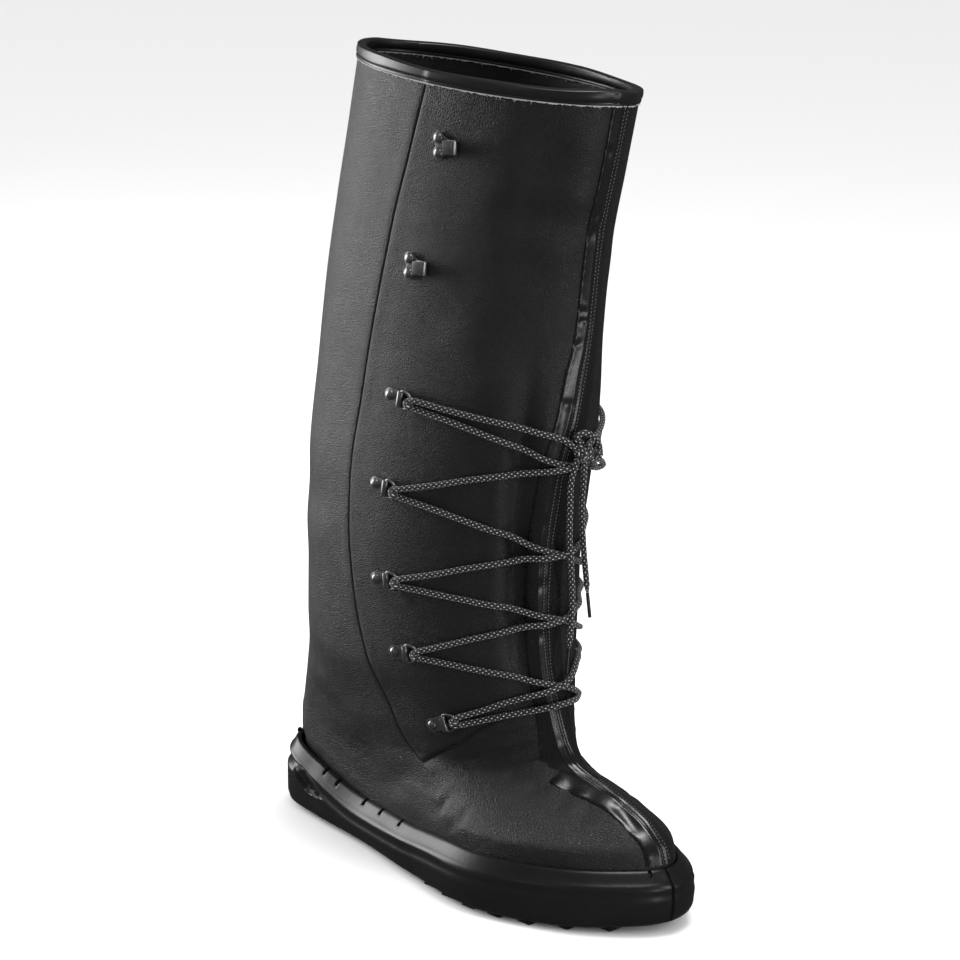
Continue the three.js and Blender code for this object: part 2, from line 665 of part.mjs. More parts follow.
// An open hook: two riveted lobes and a strip that turns outwards and back over itself.
function speedHook(frame) {
  const gauge = 1.2;
  const lobes = [-1, 1].map((s) => {
    const disc = new THREE.CylinderGeometry(RIVET / 2 + 0.9, RIVET / 2 + 0.9, PLATE, 8);
    return disc.rotateX(Math.PI / 2).translate(0, s * HOOK_RIVETS / 2, PLATE / 2);
  });
  const neck = new THREE.BoxGeometry(HOOK_REACH / 2, HOOK_WIDTH * 0.8, PLATE);
  neck.translate(HOOK_REACH / 4, 0, PLATE / 2);
  const strip = new THREE.Shape();
  const top = HOOK_DEPTH;
  strip.moveTo(HOOK_REACH / 2 - 1, 0);
  strip.lineTo(HOOK_REACH, 0);
  strip.absarc(HOOK_REACH, top / 2, top / 2, -Math.PI / 2, Math.PI / 2, false);
  strip.lineTo(HOOK_REACH * 0.55, top + 0.8);
  strip.lineTo(HOOK_REACH * 0.55, top + 0.8 - gauge);
  strip.lineTo(HOOK_REACH, top - gauge);
  strip.absarc(HOOK_REACH, top / 2, top / 2 - gauge, Math.PI / 2, -Math.PI / 2, true);
  strip.lineTo(HOOK_REACH / 2 - 1, gauge);
  const bend = new THREE.ExtrudeGeometry(strip, { depth: HOOK_WIDTH, bevelEnabled: false, curveSegments: 3 });
  bend.rotateX(Math.PI / 2).translate(0, HOOK_WIDTH / 2, 0);
  const rivets = [-1, 1].map((s) => rivetHead(0, s * HOOK_RIVETS / 2));
  return place(join([...lobes, neck, bend, ...rivets]), frame);
}

// A cord of round section along a smooth curve through its points.
function cord(points, steps, sides = 8, diameter = LACE) {
  const section = new THREE.Shape();
  for (let k = 0; k < sides; k += 1) {
    const a = 2 * Math.PI * k / sides;
    const [x, y] = [diameter / 2 * Math.cos(a), diameter / 2 * Math.sin(a)];
    if (k === 0) section.moveTo(x, y);
    else section.lineTo(x, y);
  }
  const path = new THREE.CatmullRomCurve3(points, false, 'centripetal');
  return new THREE.ExtrudeGeometry(section, { steps, bevelEnabled: false, extrudePath: path });
}

const RING_EXIT = CLIP_REACH + EYE_INNER + RING_REACH + RING_WIRE / 2 + 2 * GAP;

// Where a strand of lace meets a ring, just clear of its wire, in the ring's upper or lower half.
function ringExit(index, side, half) {
  const frame = seat(RINGS[index], side);
  return frame.origin.clone()
    .addScaledVector(frame.forward, RING_EXIT)
    .addScaledVector(frame.up, half * (LACE / 2 + GAP))
    .addScaledVector(frame.out, EYE_OUTER + 0.4);
}

// How far a taut strand's middle runs above the leather and the tape.
const STRAND_LIFT = PANEL_STEP + GAP + LACE / 2 + 1.1;
const TAPE_LIFT = TAPE_THICKNESS + TAPE_RIDGE;
const TENT_TURN = 0.07;

// A place on the form, lifted for a strand: more over the tape than over the leather.
function liftedPoint(turn, rise) {
  const away = Math.abs(turn - frontSeam(rise)) / TENT_TURN;
  return upperPoint(turn, rise, STRAND_LIFT + TAPE_LIFT * Math.max(0, 1 - away), false);
}

// The place on the form under a strand's exit from a ring, in the ring's upper or lower half.
const RING_TURN = 0.036;
const HALF_RISE = 0.0046;

function ringPlace(index, side, half) {
  const { turn, rise, lean } = RINGS[index];
  const angle = THREE.MathUtils.degToRad(lean);
  const climb = Math.sin(angle) * RING_EXIT / (BOOT_HEIGHT - LIP_HEIGHT);
  return { turn: -side * (turn - RING_TURN * Math.cos(angle)), rise: rise + climb + half * HALF_RISE };
}

const STRAND_SHARES = [0.84, 0.6, 0.4, 0.26, 0.14, 0.05];

// A strand with a section at each of its points, which run roughly level.
function strandAlong(points, sides = 6) {
  const rings = points.map((point, k) => {
    const before = points[Math.max(0, k - 1)];
    const after = points[Math.min(points.length - 1, k + 1)];
    const along = after.clone().sub(before).normalize();
    const across = along.clone().cross(new THREE.Vector3(0, 0, 1)).normalize();
    const upwards = across.clone().cross(along);
    return Array.from({ length: sides }, (_, j) => {
      const a = 2 * Math.PI * j / sides;
      return point.clone()
        .addScaledVector(across, LACE / 2 * Math.cos(a))
        .addScaledVector(upwards, LACE / 2 * Math.sin(a));
    });
  });
  return skin(rings, { fold: 0 });
}

// A strand from an outer ring over the front to an inner ring.
function strand(from, to, row) {
  const climbs = from <= to;
  const start = ringPlace(from, -1, from < to ? 1 : -1);
  const end = ringPlace(to, 1, from > to ? 1 : -1);
  const path = [
    end,
    { turn: -HALFWAY, rise: climbs ? row.down : row.up },
    { turn: row.turn, rise: row.cross },
    { turn: HALFWAY, rise: climbs ? row.up : row.down },
    start,
  ];
  const turns = [
    ...STRAND_SHARES.map((share) => start.turn * share),
    ...STRAND_SHARES.map((share) => end.turn * share).reverse(),
  ];
  const over = turns.map((turn) => liftedPoint(turn, column(path, 'turn', 'rise', turn)));
  return strandAlong([
    ringExit(from, -1, from < to ? 1 : -1), ...over, ringExit(to, 1, from > to ? 1 : -1),
  ]);
}

const laceCrossing = (row, index) => join([strand(index, index + 1, row), strand(index + 1, index, row)]);

// The knot over the topmost crossing, the bow and the ends that hang down from it. These places are
// measured from the part's origin, so they are moved back by the heel's rest when they are made.
const KNOT_AT = [196.1, -6.6, 274.7];
const TOP_OUTER = { turn: 0.02, rise: 0.538, halfway: 0.557, shares: [0.85, 0.62, 0.42, 0.25, 0.1] };
const TOP_INNER = { turn: -0.05, rise: 0.545, halfway: 0.56, shares: [0.85, 0.6, 0.35, 0.1] };
const LOOP_UPPER = [
  [195.1, -6.8, 280], [193.2, -9.2, 283.3], [194.4, -5.5, 286.2], [195.9, -0.2, 284.5],
  [196.9, 4.9, 279.8], [197.5, 6.3, 274.6], [199.4, 4.4, 272.6], [199.4, 1.2, 273.9],
];
const LOOP_INNER = [
  [196.2, -1.6, 272], [195, 6.4, 269.4], [192.6, 13, 266.6], [190, 17.4, 263],
  [191.6, 11, 262.6], [194.8, 2.8, 264.8],
];
const END_SHORT = [
  [196.6, -5.6, 269.8], [192.8, -1.4, 258.6], [189.6, 1.2, 243.3], [187.6, 4.5, 226.5],
  [187.4, 7, 210.2], [189.2, 8.2, 193.8], [190.2, 8.4, 186.6],
];
const AGLET_SHORT = [190.25, 8.4, 186.2];
const AGLET_SHORT_END = [192.6, 9, 171.2];
const END_LONG = [
  [194.5, -9.4, 270.8], [191.4, -10.4, 257.3], [188.8, -7.8, 238.9], [187.6, -5.8, 220],
  [187.4, -2.8, 198], [186.4, -0.3, 184.1], [188.5, -2.8, 162.5], [189, -4.2, 154],
];
const AGLET_LONG = [189.05, -4.3, 153.6];
const AGLET_LONG_END = [190.8, -7, 139];

const fromOrigin = ([x, y, z]) => new THREE.Vector3(x + HEEL_REST, y, z);
const freeCord = (points, steps) => cord(points.map(fromOrigin), steps);

function laceKnot() {
  const lump = new THREE.SphereGeometry(KNOT_SIZE / 2, 10, 6);
  lump.scale(1, 1, 0.9);
  return lump.translate(...fromOrigin(KNOT_AT).toArray());
}

// A strand from the top ring of one side to the knot.
function topStrand(side, row) {
  const last = RINGS.length - 1;
  const start = ringPlace(last, side, 1);
  const middle = { turn: -side * HALFWAY, rise: row.halfway };
  const path = [{ turn: row.turn, rise: row.rise }, middle, start];
  if (side > 0) path.reverse();
  const over = row.shares.map((share) => {
    const turn = THREE.MathUtils.lerp(row.turn, start.turn, share);
    return liftedPoint(turn, column(path, 'turn', 'rise', turn));
  });
  const knot = fromOrigin(KNOT_AT);
  const toKnot = over[over.length - 1].clone().sub(knot).normalize();
  const end = knot.clone().addScaledVector(toKnot, KNOT_SIZE / 2 + 2 * GAP);
  return strandAlong([ringExit(last, side, 1), ...over, end]);
}

function aglet(from, to) {
  return cord([from, to].map(fromOrigin), 1, 8, AGLET);
}

const RUBBER = { color: 0x111112, roughness: 0.35, metalness: 0 };
const LEATHER = { color: 0x161617, roughness: 0.55, metalness: 0 };
const TAPE = { color: 0x0e0e0f, roughness: 0.25, metalness: 0 };
const FELT = { color: 0x2a2a2b, roughness: 0.95, metalness: 0 };
const METAL = { color: 0x4a4a4d, roughness: 0.3, metalness: 1 };
const BRAID = { color: 0x262627, roughness: 0.85, metalness: 0 };

const overshoe = new THREE.Group();
overshoe.position.x = -HEEL_REST;

function addPiece(name, geometry, finish) {
  const mesh = new THREE.Mesh(geometry, new THREE.MeshStandardMaterial(finish));
  mesh.name = name;
  overshoe.add(mesh);
}

addPiece('outsole', outsole(), RUBBER);
addPiece('insole', insole(), FELT);
addPiece('upper', upper(), LEATHER);
addPiece('front_tape', frontTape(), TAPE);
addPiece('collar_binding', collarBinding(), TAPE);
for (const [side, word] of [[-1, 'outer'], [1, 'inner']]) {
  RINGS.forEach((row, k) => {
    addPiece(`ring_clip_${word}_${k + 1}`, ringClip(seat(row, side)), METAL);
    addPiece(`lace_ring_${word}_${k + 1}`, laceRing(seat(row, side)), METAL);
  });
  HOOKS.forEach((row, k) => addPiece(`speed_hook_${word}_${k + 1}`, speedHook(seat(row, side)), METAL));
}
addPiece('lace_bar', strand(0, 0, LACE_BAR), BRAID);
CROSSINGS.forEach((row, k) => addPiece(`lace_crossing_${k + 1}`, laceCrossing(row, k), BRAID));
addPiece('lace_top_outer', topStrand(-1, TOP_OUTER), BRAID);
addPiece('lace_top_inner', topStrand(1, TOP_INNER), BRAID);
addPiece('lace_knot', laceKnot(), BRAID);
addPiece('lace_loop_upper', freeCord(LOOP_UPPER, 10), BRAID);
addPiece('lace_loop_inner', freeCord(LOOP_INNER, 8), BRAID);
addPiece('lace_end_short', freeCord(END_SHORT, 11), BRAID);
addPiece('lace_end_long', freeCord(END_LONG, 14), BRAID);
addPiece('lace_aglet_short', aglet(AGLET_SHORT, AGLET_SHORT_END), BRAID);
addPiece('lace_aglet_long', aglet(AGLET_LONG, AGLET_LONG_END), BRAID);

overshoe.updateMatrixWorld(true);

export default overshoe;
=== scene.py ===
"""A knee-high winter overshoe for the right foot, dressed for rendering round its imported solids.

All lengths are in metres. X runs from the heel to the toe, Y to the inner side and Z up, with the
origin on the floor under the heel. A place on the upper is given as a turn round its section, from
0 at the front through 0.25 on the outer side to 0.5 at the back, and a rise from 0 at the sole's
lip to 1 at the collar.
"""

import logging
import math
from dataclasses import dataclass
from enum import Enum

import bpy
import numpy as np
from mathutils import Matrix, Vector


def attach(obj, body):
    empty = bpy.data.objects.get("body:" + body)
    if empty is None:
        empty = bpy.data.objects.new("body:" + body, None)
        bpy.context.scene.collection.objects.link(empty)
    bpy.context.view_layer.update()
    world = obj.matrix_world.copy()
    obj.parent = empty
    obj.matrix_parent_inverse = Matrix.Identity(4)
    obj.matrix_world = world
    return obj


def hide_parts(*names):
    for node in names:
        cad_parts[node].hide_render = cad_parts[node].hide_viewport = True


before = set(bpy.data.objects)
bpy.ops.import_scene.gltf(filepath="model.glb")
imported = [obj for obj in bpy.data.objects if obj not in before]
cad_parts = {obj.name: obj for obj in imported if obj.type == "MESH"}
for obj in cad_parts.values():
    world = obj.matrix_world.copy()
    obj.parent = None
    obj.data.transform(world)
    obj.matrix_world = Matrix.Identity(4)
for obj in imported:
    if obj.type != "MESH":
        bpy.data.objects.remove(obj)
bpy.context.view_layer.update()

LOG = logging.getLogger("overshoe")
MM = 0.001
BODY = "root"
Array = np.ndarray


class Side(Enum):
    """The two sides of the overshoe, with the sign of their Y."""

    OUTER = -1
    INNER = 1


# ----- The form that every sewn piece lies on


@dataclass(frozen=True)
class Table:
    """Rows of numbers under named columns, read smoothly between the rows by the first column."""

    names: tuple[str, ...]
    rows: tuple[tuple[float, ...], ...]

    def at(self, name: str, where: Array) -> Array:
        """Reads a column without overshoot.

        Args:
            name: The column to read.
            where: Places along the first column.

        Returns:
            The column's values at those places.
        """
        keys = np.array([row[0] for row in self.rows])
        values = np.array([row[self.names.index(name)] for row in self.rows])
        slope = np.diff(values) / np.diff(keys)
        both = slope[:-1] * slope[1:]
        inner = np.where(both > 0, 2 * both / np.where(both > 0, slope[:-1] + slope[1:], 1), 0)
        tangent = np.concatenate([slope[:1], inner, slope[-1:]])
        where = np.asarray(where, float)
        i = np.clip(np.searchsorted(keys, where, side="right") - 1, 0, len(keys) - 2)
        span = keys[i + 1] - keys[i]
        t = np.clip((where - keys[i]) / span, 0, 1)
        return (
            (2 * t**3 - 3 * t**2 + 1) * values[i]
            + (t**3 - 2 * t**2 + t) * span * tangent[i]
            + (3 * t**2 - 2 * t**3) * values[i + 1]
            + (t**3 - t**2) * span * tangent[i + 1]
        )


def ease(low: float, high: float, x: Array) -> Array:
    """Returns a smooth step of x from 0 at low to 1 at high."""
    t = np.clip((np.asarray(x, float) - low) / (high - low), 0, 1)
    return t * t * (3 - 2 * t)


def unit(vectors: Array) -> Array:
    """Returns the vectors at length one."""
    return vectors / np.maximum(np.linalg.norm(vectors, axis=-1, keepdims=True), 1e-12)


@dataclass(frozen=True)
class Form:
    """The overshoe's form: the sole's outline and the sections of the shaft."""

    sole_length: float = 0.330
    ball_outer: float = 0.073
    ball_inner: float = 0.060
    heel_rest: float = 0.048
    lip_height: float = 0.036
    lip_inset: float = 0.009
    lip_width: float = 0.002
    sole_thickness: float = 0.014
    heel_lift: float = 0.005
    toe_spring: float = 0.004
    heel_spring: float = 0.003
    lug_height: float = 0.002
    boot_height: float = 0.490
    collar_rise: float = -0.010
    collar_dip: float = 0.006
    wall: float = 0.003
    gap: float = 0.0003
    tape_width: float = 0.022

    # Half widths from the toe's tip to the heel's back, as shares of the two ball widths.
    plan_outer: tuple[float, ...] = (0, 0.36, 0.76, 1, 0.86, 0.65, 0.52, 0.37, 0)
    plan_inner: tuple[float, ...] = (0, 0.45, 0.83, 1, 0.91, 0.74, 0.64, 0.46, 0)

    lip: Table = Table(
        ("along", "up"),
        ((0, 1.32), (0.06, 1.2), (0.14, 1.04), (0.3, 0.8), (0.45, 0.84), (0.62, 0.97), (0.85, 1.02), (1, 1.08)),
    )
    sections: Table = Table(
        ("rise", "back", "front", "outer", "inner", "oval", "peak"),
        (
            (0, 0, 1, 1, 1, 0, 0),
            (0.02, -0.01, 0.99, 1.01, 1.02, 0, 0),
            (0.043, -0.01, 0.95, 1, 1.02, 0.05, 0.2),
            (0.061, -0.005, 0.895, 0.98, 1.01, 0.12, 0.4),
            (0.077, 0, 0.835, 0.97, 1, 0.2, 0.55),
            (0.09, 0.004, 0.782, 0.96, 1, 0.3, 0.6),
            (0.106, 0.009, 0.75, 0.95, 1.01, 0.45, 0.45),
            (0.131, 0.017, 0.73, 0.96, 1.05, 0.65, 0.3),
            (0.165, 0.026, 0.716, 0.98, 1.12, 0.8, 0.2),
            (0.221, 0.033, 0.702, 1.03, 1.22, 1, 0.1),
            (0.289, 0.034, 0.696, 1.05, 1.28, 1, 0.1),
            (0.368, 0.03, 0.696, 1.06, 1.3, 1, 0.1),
            (0.458, 0.03, 0.708, 1.04, 1.33, 1, 0.1),
            (0.571, 0.042, 0.725, 0.99, 1.34, 1, 0.1),
            (0.684, 0.056, 0.726, 0.94, 1.36, 1, 0.1),
            (0.797, 0.08, 0.735, 0.9, 1.4, 1, 0.1),
            (0.898, 0.106, 0.76, 0.88, 1.44, 1, 0.1),
            (1, 0.132, 0.788, 0.88, 1.46, 1, 0.1),
        ),
    )
    seams: Table = Table(
        ("rise", "front", "side"),
        (
            (0, 0, 0.22),
            (0.03, 0, 0.22),
            (0.06, -0.004, 0.22),
            (0.078, 0.004, 0.22),
            (0.092, 0.018, 0.221),
            (0.14, 0.02, 0.228),
            (0.24, 0.029, 0.254),
            (0.32, 0.033, 0.268),
            (0.49, 0.03, 0.28),
            (0.6, 0.009, 0.276),
            (0.72, -0.01, 0.268),
            (0.83, -0.011, 0.261),
            (1, -0.018, 0.247),
        ),
    )
    folds: tuple[tuple[float, ...], ...] = (
        (0.068, 0.37, 1.5, 0.02, 0.15),
        (0.925, 0.37, 1.2, 0.022, 0.15),
    )

    def across(self, turn: Array) -> Array:
        """Returns the Y of the sole's outline at a turn."""
        nodes = np.array([-a * self.ball_outer for a in self.plan_outer])
        nodes = np.concatenate([nodes, [a * self.ball_inner for a in self.plan_inner[-2:0:-1]]])
        s = np.asarray(turn, float) * len(nodes)
        i = np.floor(s).astype(int)
        t = s - i
        a, b, c, d = (nodes[(i + k) % len(nodes)] for k in (-1, 0, 1, 2))
        return b + 0.5 * t * (c - a + t * (2 * a - 5 * b + 4 * c - d + t * (3 * (b - c) + d - a)))

    def outline(self, turn: Array, inset: Array | float = 0.0) -> Array:
        """Returns the sole's outline at a turn, moved inwards, from the heel's back at X 0."""

        def raw(at: Array) -> Array:
            """Returns the outline itself."""
            along = self.sole_length * (1 + np.cos(2 * np.pi * at)) / 2
            return np.stack([along, self.across(at)], -1)

        turn = np.asarray(turn, float)
        tangent = unit(raw(turn + 1e-3) - raw(turn - 1e-3))
        inwards = np.stack([tangent[..., 1], -tangent[..., 0]], -1)
        return raw(turn) + inwards * np.asarray(inset)[..., None]

    def lip_at(self, x: Array) -> Array:
        """Returns the height of the sole's lip."""
        return self.lip_height * self.lip.at("up", np.asarray(x) / self.sole_length)

    def underside(self, x: Array) -> Array:
        """Returns the height of the sole's underside above its lugs."""
        share = np.asarray(x) / self.sole_length
        toe = np.maximum(0, (share - 0.8) / 0.2)
        heel = np.maximum(0, 1 - share / 0.06)
        return self.lug_height + self.toe_spring * toe**2 + self.heel_spring * heel**2

    def cup_floor(self, x: Array) -> Array:
        """Returns the height of the floor inside the sole."""
        share = np.asarray(x) / self.sole_length
        toe = np.maximum(0, (share - 0.8) / 0.2)
        lift = self.heel_lift * (1 - ease(0.25, 0.6, share))
        return self.sole_thickness + lift + self.toe_spring * toe**2

    @property
    def inset(self) -> float:
        """How far the upper's outer face stands inside the sole's outline."""
        return self.lip_inset + self.lip_width + self.gap

    def shaft(self, turn: Array, rise: Array, folded: bool = True) -> Array:
        """Finds points of the upper's outer form.

        Args:
            turn: Turns round the section.
            rise: Rises from the lip to the collar, of the same shape.
            folded: Whether the two soft folds beside the lacing are pressed in.

        Returns:
            The points, one row for each turn.
        """
        turn, rise = np.broadcast_arrays(np.asarray(turn, float), np.asarray(rise, float))
        back, front, outer, inner, oval, peak = (
            self.sections.at(name, rise) for name in self.sections.names[1:]
        )
        foot = self.outline(turn, self.inset)
        foot_back = self.outline(np.array(0.5), self.inset)[0]
        foot_front = self.outline(np.array(0.0), self.inset)[0]
        angle = 2 * np.pi * turn
        share = (foot[..., 0] - foot_back) / (foot_front - foot_back)
        along = share + ((1 + np.cos(angle)) / 2 - share) * oval
        is_outer = np.sin(angle) > 0
        half_foot = np.where(is_outer, self.ball_outer, self.ball_inner) - self.inset
        half = np.where(is_outer, outer, inner) * half_foot
        across = foot[..., 1] / half_foot
        x = foot_back + (foot_front - foot_back) * (back + (front - back) * along)
        y = half * (1 - peak * along**3) * (across + (-np.sin(angle) - across) * oval)
        lip = self.lip_at(self.outline(turn)[..., 0])
        collar = (
            self.boot_height
            + self.collar_rise * (along - 0.5)
            - self.collar_dip * np.maximum(0, -np.sin(angle))
        )
        push = np.zeros_like(x)
        for at, up, deep, wide, tall in self.folds if folded else ():
            away = np.abs(turn - at) % 1
            away = np.minimum(away, 1 - away)
            push -= self.wall * deep * np.exp(-((away / wide) ** 2) - ((rise - up) / tall) ** 2)
        out = unit(np.stack([np.cos(angle) * half, -np.sin(angle) * self.sole_length / 4], -1))
        return np.stack(
            [
                x + push * out[..., 0] - self.heel_rest,
                y + push * out[..., 1],
                lip + (collar - lip) * rise,
            ],
            -1,
        )

    def normal(self, turn: Array, rise: Array) -> Array:
        """Returns the form's outward normals."""
        turn, rise = np.broadcast_arrays(np.asarray(turn, float), np.asarray(rise, float))
        step = 2e-3
        around = self.shaft(turn + step, rise) - self.shaft(turn - step, rise)
        low, high = np.clip(rise - step, 0, 1), np.clip(rise + step, 0, 1)
        return unit(np.cross(self.shaft(turn, high) - self.shaft(turn, low), around))

    def skin(self, turn: Array, rise: Array, offset: Array | float = 0.0, folded: bool = True) -> Array:
        """Returns points of the form moved outwards by an offset."""
        offset = np.asarray(offset, float)[..., None]
        return self.shaft(turn, rise, folded) + self.normal(turn, rise) * offset

    def front_seam(self, rise: Array) -> Array:
        """Returns the turn of the front seam."""
        return self.seams.at("front", rise)

    def side_seam(self, rise: Array) -> Array:
        """Returns the turn of the side seam on the outer side."""
        return self.seams.at("side", rise)

    def turns_at_front(self, rise: Array, width: float) -> Array:
        """Returns how many turns a width spans at the front."""
        step = 2e-3
        centre = self.front_seam(rise)
        span = self.shaft(centre + step, rise) - self.shaft(centre - step, rise)
        return width * 2 * step / np.linalg.norm(span, axis=-1)


FORM = Form()


@dataclass(frozen=True)
class Crease:
    """A soft trough, or a ridge where deep is negative, pressed into the leather along a line."""

    line: tuple[tuple[float, float], ...]
    deep: float
    wide: float
    shoulder: float = 0.35

    def press(self, points: Array) -> Array:
        """Measures the crease at points of the form.

        Args:
            points: Points on the form.

        Returns:
            How far each point moves outwards.
        """
        places = np.array(self.line)
        spine = FORM.shaft(places[:, 0], places[:, 1])
        best = np.full(points.shape[:-1], np.inf)
        share = np.zeros_like(best)
        for k in range(len(spine) - 1):
            along = spine[k + 1] - spine[k]
            t = np.clip((points - spine[k]) @ along / (along @ along), 0, 1)
            away = np.linalg.norm(points - spine[k] - t[..., None] * along, axis=-1)
            near = away < best
            best = np.where(near, away, best)
            share = np.where(near, (k + t) / (len(spine) - 1), share)
        fade = ease(0, 0.3, share) * ease(0, 0.3, 1 - share)
        trough = np.exp(-((best / self.wide) ** 2))
        shoulder = self.shoulder * np.exp(-((best / self.wide - 2.1) ** 2) / 1.1)
        return self.deep * fade * (shoulder - trough)


# The creases of the leather: the long trough beside the lacing and the ridge along the tape, the
# soft folds above the lacing, then those of the instep, the toe and the heel. Depths are in metres.
CREASES = (
    Crease(((0.088, 0.7), (0.087, 0.6), (0.09, 0.54), (0.086, 0.46), (0.078, 0.376), (0.072, 0.24), (0.069, 0.18)), 0.0042, 0.0055, 0.25),
    Crease(((0.053, 0.66), (0.055, 0.557), (0.051, 0.46), (0.048, 0.376), (0.047, 0.225)), -0.0016, 0.005, 0.0),
    Crease(((0.099, 0.99), (0.096, 0.905), (0.1, 0.839), (0.128, 0.77)), 0.0016, 0.013, 0.4),
    Crease(((0.045, 0.98), (0.045, 0.9), (0.049, 0.83)), -0.0016, 0.012, 0.0),
    Crease(((0.16, 0.84), (0.1, 0.836), (0.062, 0.829), (0.01, 0.818)), 0.0011, 0.008, 0.7),
    Crease(((0.19, 0.7), (0.157, 0.661), (0.137, 0.624), (0.119, 0.57)), -0.0016, 0.016, 0.0),
    Crease(((0.14, 0.8), (0.1, 0.77), (0.06, 0.74)), 0.0009, 0.012, 0.5),
    Crease(((0.058, 0.146), (0.095, 0.137), (0.128, 0.125)), 0.0005, 0.0024, 0.6),
    Crease(((0.053, 0.127), (0.099, 0.114), (0.138, 0.1)), 0.0006, 0.0028, 0.6),
    Crease(((0.056, 0.107), (0.106, 0.093), (0.15, 0.077)), 0.0006, 0.0032, 0.6),
    Crease(((0.063, 0.094), (0.103, 0.082), (0.142, 0.063)), 0.0005, 0.003, 0.6),
    Crease(((0.065, 0.083), (0.097, 0.068), (0.122, 0.051)), 0.0007, 0.0042, 0.5),
    Crease(((0.062, 0.075), (0.089, 0.057), (0.105, 0.042)), 0.0006, 0.0046, 0.4),
    Crease(((0.022, 0.068), (0.032, 0.056), (0.04, 0.034)), 0.0012, 0.0045, 0.4),
    Crease(((0.199, 0.062), (0.224, 0.037), (0.246, 0.012)), 0.0007, 0.003, 0.6),
    Crease(((0.185, 0.054), (0.205, 0.03), (0.225, 0.01)), 0.0006, 0.0028, 0.6),
    Crease(((0.235, 0.078), (0.263, 0.053), (0.295, 0.03)), 0.0011, 0.006, 0.5),
    Crease(((0.27, 0.16), (0.33, 0.12), (0.4, 0.1)), 0.0009, 0.009, 0.5),
    Crease(((0.3, 0.42), (0.36, 0.4), (0.44, 0.405)), 0.0008, 0.012, 0.5),
    Crease(((0.912, 0.7), (0.915, 0.6), (0.925, 0.46), (0.93, 0.3), (0.935, 0.19)), 0.0024, 0.005, 0.5),
    Crease(((0.94, 0.15), (0.9, 0.13), (0.86, 0.11)), 0.0012, 0.003, 0.6),
    Crease(((0.94, 0.11), (0.9, 0.092), (0.86, 0.07)), 0.0013, 0.003, 0.6),
    Crease(((0.93, 0.085), (0.89, 0.06), (0.87, 0.04)), 0.0013, 0.0035, 0.5),
    Crease(((0.9, 0.84), (0.84, 0.8), (0.78, 0.79)), 0.0012, 0.011, 0.5),
    Crease(((0.72, 0.3), (0.66, 0.27), (0.58, 0.26)), 0.001, 0.011, 0.5),
    Crease(((0.76, 0.08), (0.72, 0.06), (0.68, 0.035)), 0.001, 0.006, 0.5),
)


def relief(turn: Array, rise: Array) -> Array:
    """Returns how far the leather moves outwards at its creases."""
    points = FORM.shaft(turn, rise)
    return sum((crease.press(points) for crease in CREASES), np.zeros(points.shape[:-1]))


# ----- Finishes


class Shader:
    """A material's nodes, with short calls to add and join them."""

    def __init__(self, name: str) -> None:
        """Starts a material with one principled shader."""
        self.material = bpy.data.materials.new(name)
        self.material.use_nodes = True
        self.tree = self.material.node_tree
        self.main = self.tree.nodes["Principled BSDF"]

    def add(self, kind: str, values: dict | None = None, **settings: object) -> bpy.types.Node:
        """Adds a node.

        Args:
            kind: The node's type, without the leading ShaderNode.
            values: Constants or sockets for its inputs, by name or index.
            **settings: The node's own properties.

        Returns:
            The node.
        """
        node = self.tree.nodes.new(f"ShaderNode{kind}")
        for key, value in settings.items():
            setattr(node, key, value)
        for key, value in (values or {}).items():
            self.put(node, key, value)
        return node

    def put(self, node: bpy.types.Node, key: str | int, value: object) -> None:
        """Sets an input to a constant, or joins a socket to it."""
        if isinstance(value, bpy.types.NodeSocket):
            self.tree.links.new(value, node.inputs[key])
        else:
            node.inputs[key].default_value = value

    def math(self, operation: str, a: object, b: object = 0.5) -> bpy.types.NodeSocket:
        """Returns the result of a math node."""
        return self.add("Math", {0: a, 1: b}, operation=operation).outputs[0]

    def ramp(self, fac: bpy.types.NodeSocket, stops: tuple[tuple[float, float], ...]) -> bpy.types.NodeSocket:
        """Returns a grey ramp of a value, with its stops as pairs of place and grey."""
        node = self.add("ValToRGB", {0: fac})
        while len(node.color_ramp.elements) < len(stops):
            node.color_ramp.elements.new(0.5)
        for element, (place, grey) in zip(node.color_ramp.elements, stops):
            element.position = place
            element.color = (grey, grey, grey, 1)
        return node.outputs[0]

    def tint(self, fac: object, dark: tuple[float, ...], light: tuple[float, ...]) -> bpy.types.NodeSocket:
        """Returns a mix of two colours."""
        node = self.add("Mix", {0: fac, 6: (*dark, 1), 7: (*light, 1)}, data_type="RGBA")
        return node.outputs[2]

    def bumps(self, *layers: tuple[bpy.types.NodeSocket, float, float]) -> None:
        """Stacks bumps, each a height, a strength and a depth in metres, onto the shader's normal."""
        below = None
        for height, strength, depth in layers:
            node = self.add("Bump", {"Height": height, "Strength": strength, "Distance": depth})
            if below is not None:
                self.put(node, "Normal", below)
            below = node.outputs[0]
        self.put(self.main, "Normal", below)

    def noise(self, where: object, scale: float, detail: float = 2.0, rough: float = 0.5) -> bpy.types.NodeSocket:
        """Returns a noise of places, with its scale per metre."""
        values = {"Vector": where, "Scale": scale, "Detail": detail, "Roughness": rough}
        return self.add("TexNoise", values).outputs[0]


